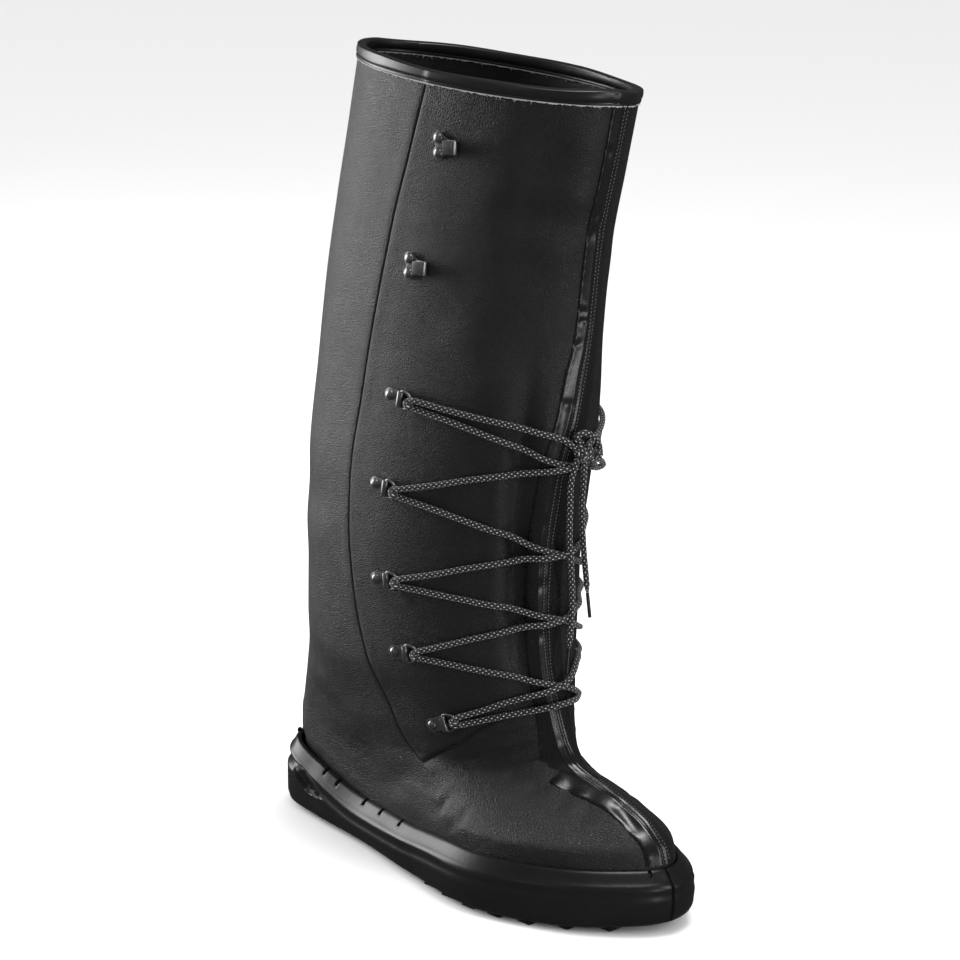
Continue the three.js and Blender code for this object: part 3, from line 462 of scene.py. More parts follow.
@dataclass(frozen=True)
class LeatherFinish:
    """Soft coated leather with a fine pebble grain."""

    name: str = "grained_leather"
    colour: tuple[float, float, float] = (0.0062, 0.0062, 0.0065)
    pebble: float = 0.0013
    gloss: float = 0.44

    def material(self) -> bpy.types.Material:
        """Returns the finish as a material."""
        s = Shader(self.name)
        where = s.add("TexCoord").outputs["Object"]
        cells = s.add("TexVoronoi", {"Vector": where, "Scale": 1 / self.pebble, "Randomness": 1.0}, feature="DISTANCE_TO_EDGE")
        grain = s.ramp(cells.outputs["Distance"], ((0.0, 0.0), (0.16, 0.75), (0.45, 1.0)))
        fine = s.noise(where, 2600, 3)
        cloud = s.noise(where, 22, 4, 0.55)
        patch = s.noise(where, 90, 3, 0.6)
        s.put(s.main, "Base Color", s.tint(cloud, tuple(c * 0.75 for c in self.colour), tuple(c * 1.35 for c in self.colour)))
        rough = s.math("ADD", s.math("MULTIPLY", patch, 0.14), self.gloss - 0.07)
        s.put(s.main, "Roughness", s.math("ADD", rough, s.math("MULTIPLY", fine, 0.06)))
        s.main.inputs["Specular IOR Level"].default_value = 0.5
        s.bumps((grain, 0.75, 0.0003), (fine, 0.3, 0.00007), (patch, 0.4, 0.0008), (cloud, 0.35, 0.003))
        return s.material


@dataclass(frozen=True)
class GlossFinish:
    """Smooth glossy coated trim, lightly rippled."""

    name: str
    colour: tuple[float, float, float] = (0.005, 0.005, 0.0053)
    rough: float = 0.27
    ripple: float = 0.0008

    def material(self) -> bpy.types.Material:
        """Returns the finish as a material."""
        s = Shader(self.name)
        where = s.add("TexCoord").outputs["Object"]
        wave = s.noise(where, 60, 2)
        fine = s.noise(where, 900, 3)
        s.main.inputs["Base Color"].default_value = (*self.colour, 1)
        s.put(s.main, "Roughness", s.math("ADD", s.math("MULTIPLY", fine, 0.12), self.rough - 0.06))
        s.bumps((wave, 0.5, self.ripple), (fine, 0.2, 0.00005))
        return s.material


@dataclass(frozen=True)
class RubberFinish:
    """Moulded rubber with a dull bloom that varies at random over its surface."""

    name: str = "moulded_rubber"
    colour: tuple[float, float, float] = (0.0055, 0.0055, 0.0058)
    rough: float = 0.33

    def material(self) -> bpy.types.Material:
        """Returns the finish as a material."""
        s = Shader(self.name)
        where = s.add("TexCoord").outputs["Object"]
        bloom = s.noise(where, 35, 4, 0.6)
        fine = s.noise(where, 1500, 2)
        s.put(s.main, "Base Color", s.tint(bloom, tuple(c * 0.8 for c in self.colour), tuple(c * 1.4 for c in self.colour)))
        s.put(s.main, "Roughness", s.math("ADD", s.math("MULTIPLY", bloom, 0.2), self.rough - 0.1))
        s.main.inputs["Specular IOR Level"].default_value = 0.28
        s.bumps((fine, 0.25, 0.00005), (bloom, 0.3, 0.0012))
        return s.material


@dataclass(frozen=True)
class FeltFinish:
    """Matt felt or brushed lining."""

    name: str
    colour: tuple[float, float, float] = (0.02, 0.02, 0.021)

    def material(self) -> bpy.types.Material:
        """Returns the finish as a material."""
        s = Shader(self.name)
        where = s.add("TexCoord").outputs["Object"]
        fibre = s.noise(where, 1400, 4, 0.7)
        cloud = s.noise(where, 120, 3)
        s.put(s.main, "Base Color", s.tint(cloud, tuple(c * 0.7 for c in self.colour), tuple(c * 1.5 for c in self.colour)))
        s.main.inputs["Roughness"].default_value = 0.92
        s.main.inputs["Sheen Weight"].default_value = 0.25
        s.bumps((fibre, 0.7, 0.0003), (cloud, 0.3, 0.0008))
        return s.material


@dataclass(frozen=True)
class SteelFinish:
    """Dark nickelled steel, a little tumbled."""

    name: str = "nickelled_steel"
    colour: tuple[float, float, float] = (0.3, 0.3, 0.304)
    rough: float = 0.38

    def material(self) -> bpy.types.Material:
        """Returns the finish as a material."""
        s = Shader(self.name)
        where = s.add("TexCoord").outputs["Object"]
        wear = s.noise(where, 700, 4, 0.6)
        s.put(s.main, "Base Color", s.tint(wear, tuple(c * 0.7 for c in self.colour), tuple(c * 1.3 for c in self.colour)))
        s.main.inputs["Metallic"].default_value = 1.0
        s.put(s.main, "Roughness", s.math("ADD", s.math("MULTIPLY", wear, 0.3), self.rough - 0.15))
        s.bumps((wear, 0.2, 0.0001))
        return s.material


@dataclass(frozen=True)
class BraidFinish:
    """A dark braid with staggered light flecks, on UV of turns round the cord and pitches along it."""

    name: str = "flecked_braid"
    dark: tuple[float, float, float] = (0.011, 0.011, 0.0115)
    light: tuple[float, float, float] = (0.5, 0.5, 0.51)
    strands: float = 8.0

    def material(self) -> bpy.types.Material:
        """Returns the finish as a material."""
        s = Shader(self.name)
        spot = s.add("SeparateXYZ", {0: s.add("TexCoord").outputs["UV"]})
        around = s.math("ADD", s.math("MULTIPLY", spot.outputs[0], self.strands), 0.5)
        stagger = s.math("MULTIPLY", s.math("MODULO", s.math("FLOOR", around), 2.0), 0.5)
        along = s.math("ADD", spot.outputs[1], stagger)
        u = s.math("DIVIDE", s.math("SUBTRACT", s.math("FRACT", around), 0.5), 0.27)
        v = s.math("DIVIDE", s.math("SUBTRACT", s.math("FRACT", along), 0.5), 0.15)
        reach = s.math("ADD", s.math("MULTIPLY", u, u), s.math("MULTIPLY", v, v))
        fleck = s.ramp(reach, ((0.55, 1.0), (1.0, 0.0)))
        where = s.add("TexCoord").outputs["Object"]
        fuzz = s.noise(where, 2600, 3)
        plait = s.add("Mix", {0: fleck, 6: (*self.dark, 1), 7: (*self.light, 1)}, data_type="RGBA").outputs[2]
        shade = s.add("Mix", {0: 0.6, 6: plait, 7: fuzz}, data_type="RGBA", blend_type="MULTIPLY").outputs[2]
        s.put(s.main, "Base Color", shade)
        s.main.inputs["Roughness"].default_value = 0.75
        s.main.inputs["Sheen Weight"].default_value = 0.1
        s.bumps((fuzz, 0.5, 0.00015))
        return s.material


@dataclass(frozen=True)
class ThreadFinish:
    """Sewing thread or frayed fibre."""

    name: str
    colour: tuple[float, float, float]

    def material(self) -> bpy.types.Material:
        """Returns the finish as a material."""
        s = Shader(self.name)
        fuzz = s.noise(s.add("TexCoord").outputs["Object"], 1800, 3)
        s.put(s.main, "Base Color", s.tint(fuzz, tuple(c * 0.6 for c in self.colour), tuple(min(1, c * 1.4) for c in self.colour)))
        s.main.inputs["Roughness"].default_value = 0.7
        s.bumps((fuzz, 0.4, 0.0001))
        return s.material


# ----- Mesh helpers


def deselect() -> None:
    """Clears the selection."""
    bpy.ops.object.select_all(action="DESELECT")


def edit(obj: bpy.types.Object) -> None:
    """Selects one object alone and opens it in edit mode with everything selected."""
    deselect()
    obj.select_set(True)
    bpy.context.view_layer.objects.active = obj
    bpy.ops.object.mode_set(mode="EDIT")
    bpy.ops.mesh.select_all(action="SELECT")


def close_edit() -> None:
    """Leaves edit mode."""
    bpy.ops.object.mode_set(mode="OBJECT")


def settle(obj: bpy.types.Object, name: str) -> bpy.types.Object:
    """Names a mesh object and moves its place into its mesh."""
    obj.name = name
    obj.data.name = name
    deselect()
    obj.select_set(True)
    bpy.context.view_layer.objects.active = obj
    bpy.ops.object.transform_apply(location=True, rotation=True, scale=True)
    return obj


def apply_modifier(obj: bpy.types.Object, kind: str, **settings: object) -> None:
    """Adds a modifier to an object and applies it."""
    modifier = obj.modifiers.new(kind.lower(), kind)
    for key, value in settings.items():
        setattr(modifier, key, value)
    deselect()
    obj.select_set(True)
    bpy.context.view_layer.objects.active = obj
    bpy.ops.object.modifier_apply(modifier=modifier.name)


def smooth(obj: bpy.types.Object, angle: float = 40.0) -> None:
    """Shades an object smooth below an angle in degrees."""
    deselect()
    obj.select_set(True)
    bpy.context.view_layer.objects.active = obj
    bpy.ops.object.shade_smooth_by_angle(angle=math.radians(angle))


def sheet(name: str, points: Array, capped: bool = False, tile: tuple[float, float] = (1.0, 1.0)) -> bpy.types.Object:
    """Shapes a grid into a sheet and sews up the edges that meet.

    Args:
        name: The piece's name.
        points: Rows of points, with the first point or row repeated at the end where it closes.
        capped: Whether open ends are filled.
        tile: How often the UV repeats along a row and from row to row.

    Returns:
        The object.
    """
    rows, columns = points.shape[:2]
    deselect()
    bpy.ops.mesh.primitive_grid_add(x_subdivisions=columns - 1, y_subdivisions=rows - 1, size=1)
    obj = bpy.context.object
    obj.data.vertices.foreach_set("co", points.reshape(-1).astype(np.float32))
    layer = obj.data.uv_layers.active.data
    uv = np.empty(len(layer) * 2, np.float32)
    layer.foreach_get("uv", uv)
    layer.foreach_set("uv", (uv.reshape(-1, 2) * np.array(tile)).reshape(-1).astype(np.float32))
    edit(obj)
    bpy.ops.mesh.remove_doubles(threshold=2e-6)
    if capped:
        bpy.ops.mesh.fill_holes(sides=0)
    bpy.ops.mesh.normals_make_consistent(inside=False)
    close_edit()
    return settle(obj, name)


def finish_piece(
    obj: bpy.types.Object, slot: str, material: bpy.types.Material, *nodes: str, angle: float = 40.0
) -> bpy.types.Object:
    """Dresses a piece, lets it ride on the overshoe and hides the solids that it stands for."""
    obj.data.materials.clear()
    obj.data.materials.append(material)
    smooth(obj, angle)
    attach(obj, BODY)
    if nodes:
        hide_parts(*nodes)
    LOG.info("%s: %d faces", obj.name, len(obj.data.polygons))
    return obj


def catmull(points: Array, step: float) -> Array:
    """Runs a smooth centripetal curve through points.

    Args:
        points: The points.
        step: The distance between the points of the result.

    Returns:
        Points evenly along the curve, with both ends kept.
    """
    pts = np.vstack([2 * points[0] - points[1], points, 2 * points[-1] - points[-2]])
    out = []
    for k in range(1, len(pts) - 2):
        p0, p1, p2, p3 = pts[k - 1 : k + 3]
        t0 = 0.0
        t1 = t0 + np.linalg.norm(p1 - p0) ** 0.5
        t2 = t1 + np.linalg.norm(p2 - p1) ** 0.5
        t3 = t2 + np.linalg.norm(p3 - p2) ** 0.5
        count = max(4, int(np.linalg.norm(p2 - p1) / step * 3))
        t = np.linspace(t1, t2, count, endpoint=False)[:, None]
        a1 = (t1 - t) / (t1 - t0) * p0 + (t - t0) / (t1 - t0) * p1
        a2 = (t2 - t) / (t2 - t1) * p1 + (t - t1) / (t2 - t1) * p2
        a3 = (t3 - t) / (t3 - t2) * p2 + (t - t2) / (t3 - t2) * p3
        b1 = (t2 - t) / (t2 - t0) * a1 + (t - t0) / (t2 - t0) * a2
        b2 = (t3 - t) / (t3 - t1) * a2 + (t - t1) / (t3 - t1) * a3
        out.append((t2 - t) / (t2 - t1) * b1 + (t - t1) / (t2 - t1) * b2)
    dense = np.vstack([*out, points[-1:]])
    length = np.concatenate([[0], np.cumsum(np.linalg.norm(np.diff(dense, axis=0), axis=1))])
    even = np.linspace(0, length[-1], max(3, int(round(length[-1] / step)) + 1))
    return np.stack([np.interp(even, length, dense[:, k]) for k in range(3)], -1)


def frames_along(path: Array) -> tuple[Array, Array]:
    """Carries two side directions along a path without twisting them."""
    tangent = unit(np.gradient(path, axis=0))
    side = np.zeros_like(path)
    start = np.cross(tangent[0], (0, 0, 1))
    side[0] = unit(start if np.linalg.norm(start) > 0.1 else np.cross(tangent[0], (0, 1, 0)))
    for k in range(1, len(path)):
        across = side[k - 1] - tangent[k] * (side[k - 1] @ tangent[k])
        side[k] = unit(across)
    return side, np.cross(tangent, side)


def tube(name: str, path: Array, radius: float, sides: int = 14, braid: float = 0.0, pitch: float = 0.004) -> bpy.types.Object:
    """Sweeps a round section along a path.

    Args:
        name: The piece's name.
        path: Points evenly along the centre line.
        radius: The section's radius, or one for each point.
        sides: How many sides the section has.
        braid: How deep the braid's strands are pressed in.
        pitch: The braid's repeat along the cord.

    Returns:
        The object, with UV of turns round and pitches along.
    """
    side, up = frames_along(path)
    along = np.concatenate([[0], np.cumsum(np.linalg.norm(np.diff(path, axis=0), axis=1))])
    angle = np.linspace(0, 2 * np.pi, sides + 1)
    weave = np.cos(4 * angle[None, :] + 2 * np.pi * along[:, None] / pitch) * np.cos(
        4 * angle[None, :] - 2 * np.pi * along[:, None] / pitch
    )
    r = np.broadcast_to(np.asarray(radius, float).reshape(-1, 1), weave.shape) - braid * (0.5 - 0.5 * weave)
    points = (
        path[:, None, :]
        + (r * np.cos(angle))[..., None] * side[:, None, :]
        + (r * np.sin(angle))[..., None] * up[:, None, :]
    )
    return sheet(name, points, capped=True, tile=(1.0, along[-1] / pitch))


def scatter(name: str, stamp: bpy.types.Object, frames: list[Matrix]) -> bpy.types.Object:
    """Copies a small mesh to many places as one joined mesh, and deletes the mesh it came from.

    Args:
        name: The piece's name.
        stamp: The mesh to copy.
        frames: Where each copy goes.

    Returns:
        The joined object.
    """
    mesh = stamp.data
    co = np.empty(len(mesh.vertices) * 3)
    mesh.vertices.foreach_get("co", co)
    co = np.c_[co.reshape(-1, 3), np.ones(len(mesh.vertices))]
    faces = [list(p.vertices) for p in mesh.polygons]
    points = np.vstack([co @ np.array(m).T[:, :3] for m in frames])
    joined = bpy.data.meshes.new(name)
    count = len(co)
    joined.from_pydata(points.tolist(), [], [[v + k * count for v in f] for k in range(len(frames)) for f in faces])
    obj = bpy.data.objects.new(name, joined)
    bpy.context.collection.objects.link(obj)
    bpy.data.objects.remove(stamp)
    return obj


def stitch_stamp(length: float, thick: float) -> bpy.types.Object:
    """Models one stitch, a short round-ended thread lying along X."""
    deselect()
    bpy.ops.mesh.primitive_uv_sphere_add(segments=6, ring_count=5, radius=1)
    obj = bpy.context.object
    edit(obj)
    bpy.ops.transform.rotate(value=math.pi / 2, orient_axis="Y", center_override=(0, 0, 0))
    bpy.ops.transform.resize(value=(length / 2, thick / 2, thick / 2))
    close_edit()
    return obj


def stitches(name: str, line: Array, normals: Array, pitch: float, length: float, thick: float) -> bpy.types.Object:
    """Lays a row of stitches along a line on a surface.

    Args:
        name: The piece's name.
        line: Points of the line.
        normals: The surface's normals at those points.
        pitch: The distance from stitch to stitch.
        length: The length of one stitch.
        thick: The thread's thickness.

    Returns:
        The joined stitches.
    """
    return scatter(name, stitch_stamp(length, thick), stitch_frames(line, normals, pitch))


def stitch_frames(line: Array, normals: Array, pitch: float) -> list[Matrix]:
    """Returns a frame for each stitch of a row, X along the row and Z away from the surface."""
    along = np.concatenate([[0], np.cumsum(np.linalg.norm(np.diff(line, axis=0), axis=1))])
    places = np.arange(pitch / 2, along[-1], pitch)
    at = np.stack([np.interp(places, along, line[:, k]) for k in range(3)], -1)
    up = unit(np.stack([np.interp(places, along, normals[:, k]) for k in range(3)], -1))
    tangent = unit(np.gradient(line, axis=0))
    ahead = np.stack([np.interp(places, along, tangent[:, k]) for k in range(3)], -1)
    ahead = unit(ahead - up * (ahead * up).sum(-1, keepdims=True))
    return [
        Matrix(np.vstack([np.c_[a, np.cross(u, a), u, p], [0, 0, 0, 1]]).tolist())
        for p, u, a in zip(at, up, ahead)
    ]


# ----- The overshoe's sub-assemblies


@dataclass
class Outsole:
    """The moulded rubber cup with its bevelled lip, strap groove, heel leaves, toe block and lugs."""

    bevel: float = 0.010
    groove: float = 0.005
    bumper: float = 0.001
    columns: int = 400
    row_step: float = 0.0014
    round_steps: int = 4
    corner: float = 0.0015
    leaf_turn: float = 0.388
    leaf_length: float = 0.042
    leaf_width: float = 0.0125
    leaf_depth: float = 0.0034
    leaf_height: float = 0.0245
    leaf_lean: float = 0.3
    parting: float = 0.0105
    block_end: float = 0.95
    notches: tuple[float, ...] = (0.3658, 0.3482, 0.3153, 0.295, 0.271, 0.041)
    nubs: tuple[tuple[float, float, float], ...] = ((0.474, 0.0074, 0.0018), (0.462, 0.006, 0.0008))

    # Inset from the outline, the level that the height counts from, the height and the groove's share.
    profile: tuple[tuple[float, str, float, float], ...] = (
        (0.0055, "base", 0, 0),
        (0.0022, "base", 0.002, 0),
        (0.0006, "base", 0.007, 0),
        (0, "bevel", -0.007, 0),
        (0.0008, "bevel", -0.003, 1),
        (0.0005, "bevel", 0.0005, 0.2),
        (0.0012, "bevel", 0.0024, 0),
        (0.0030, "bevel", 0.0040, 0),
        (0.0074, "lip", -0.0008, 0),
        (0.009, "lip", 0, 0),
        (0.0105, "lip", -0.0004, 0),
        (0.011, "lip", -0.0016, 0),
        (0.011, "floor", 0, 0),
    )
    # The tread's rows: their place along the sole, the inset of their ends and how many lugs they have.
    tread: tuple[tuple[float, float, int], ...] = (
        (0.08, 0.012, 2),
        (0.145, 0.012, 3),
        (0.21, 0.012, 2),
        (0.55, 0.007, 3),
        (0.61, 0.007, 3),
        (0.67, 0.007, 3),
        (0.73, 0.007, 3),
        (0.79, 0.007, 3),
        (0.85, 0.010, 2),
        (0.91, 0.015, 1),
    )
    lug_length: float = 0.010
    lug_space: float = 0.008

    def arc(self) -> tuple[Array, Array]:
        """Returns fine turns round the outline and the distance along it at each."""
        fine = np.linspace(0, 1, 6001)
        edge = FORM.outline(fine)
        return fine, np.concatenate([[0], np.cumsum(np.linalg.norm(np.diff(edge, axis=0), axis=1))])

    def turns(self) -> Array:
        """Returns the columns' turns, closer together at the notches and the toe's parting."""
        fine, length = self.arc()
        places = list(np.linspace(0, length[-1], self.columns + 1)[1:-1])
        for turn, offsets in (
            *((n, (-0.0022, -0.0014, -0.001, -0.0006, -0.0002, 0.0002, 0.0006, 0.001, 0.0014, 0.0022)) for n in self.notches),
            *((n, (-0.0014, -0.0009, -0.0006, -0.0003, 0, 0.0003, 0.0006, 0.0009, 0.0014)) for n in (self.parting, self.block_end)),
        ):
            centre = np.interp(turn, fine, length)
            places = [v for v in places if abs(v - centre) > abs(offsets[0]) + 0.0003] + [centre + o for o in offsets]
        places = np.array([0, *sorted(places), length[-1]])
        turns = np.interp(places, length, fine)
        turns[-1] = 1.0
        return turns

    def stations(self, turns: Array) -> tuple[Array, Array]:
        """Finds the profile's corners at each column.

        Args:
            turns: The columns' turns.

        Returns:
            Insets and heights, each with a row for a station and a column for a turn.
        """
        x = FORM.outline(turns)[:, 0]
        levels = {
            "base": FORM.underside(x),
            "bevel": FORM.lip_at(x) - self.bevel,
            "lip": FORM.lip_at(x),
            "floor": FORM.cup_floor(x),
        }
        heel = 1 - ease(0.03, 0.1, x / FORM.sole_length)
        gap = 0.0018 * (1 - ease(0.1, 0.32, x / FORM.sole_length))
        insets = np.array([inset + self.groove * heel * groove - gap * (inset > 0.0068) for inset, _, _, groove in self.profile])
        heights = np.array([levels[level] + up for _, level, up, _ in self.profile])
        return insets, heights

    def rounded(self, insets: Array, heights: Array) -> tuple[Array, Array]:
        """Rounds the profile's corners with short curves and fills its long stretches with rows.

        Args:
            insets: The stations' insets.
            heights: The stations' heights.

        Returns:
            The insets and heights of the rounded profile.
        """
        corners = np.stack([insets, heights], -1)
        out = [corners[0]]
        for k in range(1, len(corners) - 1):
            before, here, after = corners[k - 1 : k + 2]
            ends = []
            for other in (before, after):
                way = other - here
                size = np.linalg.norm(way, axis=-1, keepdims=True)
                ends.append(here + way / np.maximum(size, 1e-9) * np.minimum(self.corner, 0.45 * size))
            for t in np.linspace(0, 1, self.round_steps):
                out.append((1 - t) ** 2 * ends[0] + 2 * t * (1 - t) * here + t**2 * ends[1])
        out.append(corners[-1])
        filled = [out[0]]
        for low, high in zip(out[:-1], out[1:]):
            count = max(1, int(np.linalg.norm(high - low, axis=-1).max() / self.row_step))
            filled += [low + (high - low) * t for t in np.linspace(0, 1, count + 1)[1:]]
        stacked = np.array(filled)
        return stacked[..., 0], stacked[..., 1]

    def along(self, turns: Array, centre: float) -> Array:
        """Returns distances along the outline from a turn, positive towards the toe."""
        fine, length = self.arc()
        gap = np.interp(turns, fine, length) - np.interp(centre, fine, length)
        gap = (gap + length[-1] / 2) % length[-1] - length[-1] / 2
        return -gap if centre < 0.5 else gap

    def carve(self, points: Array, turns: Array) -> Array:
        """Presses the leaves into the heel's sides, cuts the notches and lifts the toe's block.

        Args:
            points: Rows of points of the wall.
            turns: The columns' turns.

        Returns:
            The points after carving.
        """
        ahead = unit(FORM.outline(turns + 1e-3) - FORM.outline(turns - 1e-3))
        outwards = np.stack([-ahead[:, 1], ahead[:, 0], np.zeros(len(turns))], -1)
        x = FORM.outline(turns)[:, 0]
        lip = FORM.lip_at(x)[None, :]
        z = points[..., 2]
        move, drop = np.zeros(z.shape), np.zeros(z.shape)
        for centre in (self.leaf_turn, 1 - self.leaf_turn):
            away = self.along(turns, centre)[None, :]
            u = away / (self.leaf_length / 2)
            v = (z - self.leaf_height + math.tan(self.leaf_lean) * away) / (self.leaf_width / 2)
            room = 1 - np.abs(u) ** 1.7 - np.abs(v)
            inside = ease(0, 0.3, room)
            blade = np.exp(-(((v + 0.2 + 0.12 * u) / 0.21) ** 2)) * ease(0.02, 0.25, room)
            rim = np.exp(-(((room + 0.05) / 0.06) ** 2)) * (np.abs(u) < 1.1) * (v < 0)
            move -= self.leaf_depth * inside * (1 - 1.1 * blade) - 0.0007 * rim
        block = ((turns < self.parting) | (turns > self.block_end)) & (turns >= 0)
        edge = np.minimum(np.abs(self.along(turns, self.parting)), np.abs(self.along(turns, self.block_end)))
        soft = np.where(block, ease(0, 0.0008, edge), 0)[None, :]
        low = ease(0.0, 0.004, z - FORM.underside(x)[None, :] - 0.001)
        high = 1 - ease(0.0, 0.0016, z - lip + 0.0016)
        move += self.bumper * soft * low * high
        seam = np.exp(-((self.along(turns, self.parting) / 0.0005) ** 2))[None, :]
        move -= 0.0012 * seam * low
        drop += 0.0012 * seam * ease(-0.004, -0.001, z - lip)
        for n in self.notches:
            cut = np.exp(-((self.along(turns, n) / 0.00095) ** 4))[None, :] * ease(-0.0034, -0.0026, z - lip)
            drop += 0.002 * cut
            move -= 0.0009 * cut
        wander = 0.00035 * np.sin(x / 0.017 + 1.3) + 0.0003 * np.sin(x / 0.041 + turns * 9)
        move += wander[None, :] * ease(0.004, 0.012, z) * (1 - ease(-0.012, -0.006, z - lip))
        moved = points + move[..., None] * outwards[None]
        moved[..., 2] -= drop
        return moved

    def shell(self) -> Array:
        """Returns the cup's rows of points, from the underside's middle round to the floor's."""
        turns = self.turns()
        insets, heights = self.rounded(*self.stations(turns))
        wall = []
        for inset, height in zip(insets, heights):
            edge = FORM.outline(turns, inset)
            wall.append(np.c_[edge[:, 0] - FORM.heel_rest, edge[:, 1], height])
        points = self.carve(np.array(wall), turns)

        def inwards(ring: Array, share: float) -> Array:
            """Moves a ring towards the sole's middle line."""
            middle = (np.interp(ring[:, 0], *self.side_line(ring, True)) + np.interp(ring[:, 0], *self.side_line(ring, False))) / 2
            return np.c_[ring[:, 0], ring[:, 1] + (middle - ring[:, 1]) * share, ring[:, 2]]

        below = [inwards(points[0], share) for share in (1.0, 0.66, 0.33)]
        above = [inwards(points[-1], share) for share in (0.33, 0.66, 1.0)]
        return np.concatenate([below, points, above])

    def side_line(self, ring: Array, outer: bool) -> tuple[Array, Array]:
        """Returns one side of a ring as rising X and the Y at each."""
        front, back = int(ring[:, 0].argmax()), int(ring[:, 0].argmin())
        if front > back:
            front = 0
        part = ring[front : back + 1] if outer else np.vstack([ring[back:], ring[:1]])
        order = np.argsort(part[:, 0])
        return part[order, 0], part[order, 1]

    def lug(self, x: float, y: float, width: float) -> bpy.types.Object:
        """Models one lug of the tread."""
        low = float(FORM.underside(np.array(x))) - FORM.lug_height
        deselect()
        bpy.ops.mesh.primitive_cube_add(size=1, location=(x - FORM.heel_rest, y, low + (FORM.lug_height + MM) / 2))
        obj = bpy.context.object
        obj.scale = (self.lug_length, width, FORM.lug_height + MM)
        settle(obj, "lug")
        apply_modifier(obj, "BEVEL", width=0.0005, segments=2)
        return obj

    def nub(self, turn: float, inset: float, up: float) -> bpy.types.Object:
        """Models one of the small moulding nubs on the heel's lip."""
        spot = FORM.outline(np.array(turn), inset)
        top = float(FORM.lip_at(spot[0])) + up
        deselect()
        bpy.ops.mesh.primitive_uv_sphere_add(segments=16, ring_count=10, radius=0.0013, location=(spot[0] - FORM.heel_rest, spot[1], top))
        bpy.context.object.scale = (1, 1.3, 1.5)
        return settle(bpy.context.object, "nub")

    def build(self, rubber: bpy.types.Material) -> bpy.types.Object:
        """Builds the cup and its tread as one piece."""
        cup = sheet("overshoe_outsole", self.shell())
        added = [self.nub(*row) for row in self.nubs]
        for along, inset, count in self.tread:
            turn = math.acos(2 * along - 1) / (2 * math.pi)
            outer = float(FORM.outline(np.array(turn), inset)[1])
            inner = float(FORM.outline(np.array(1 - turn), inset)[1])
            pitch = (inner - outer + self.lug_space) / count
            for k in range(count):
                y = outer + pitch * (k + 0.5) - self.lug_space / 2
                added.append(self.lug(along * FORM.sole_length, y, pitch - self.lug_space))
        deselect()
        for obj in (*added, cup):
            obj.select_set(True)
        bpy.context.view_layer.objects.active = cup
        bpy.ops.object.join()
        return finish_piece(cup, "rubber", rubber, "outsole", angle=42)


@dataclass
class Insole:
    """The felt bed on the cup's floor."""

    thick: float = 0.005
    columns: int = 160

    def build(self, felt: bpy.types.Material) -> bpy.types.Object:
        """Builds the bed with a rounded edge."""
        turns = np.linspace(0, 1, self.columns + 1)
        inset = FORM.inset + FORM.wall + FORM.gap
        rows = []
        for up, extra, share in (
            (0, 0, 1), (0, 0, 0.5), (0, 0.0004, 0), (0.0008, 0, 0), (0.0042, 0, 0), (0.005, 0.0009, 0), (0.005, 0, 0.5), (0.005, 0, 1),
        ):
            edge = FORM.outline(turns, inset + extra)
            middle = (edge[:, 1] + edge[::-1, 1]) / 2
            y = edge[:, 1] + (middle - edge[:, 1]) * share
            level = FORM.cup_floor(FORM.outline(turns)[:, 0]) + FORM.gap
            rows.append(np.c_[edge[:, 0] - FORM.heel_rest, y, level + up])
        return finish_piece(sheet("overshoe_insole", np.array(rows)), "felt", felt, "insole")


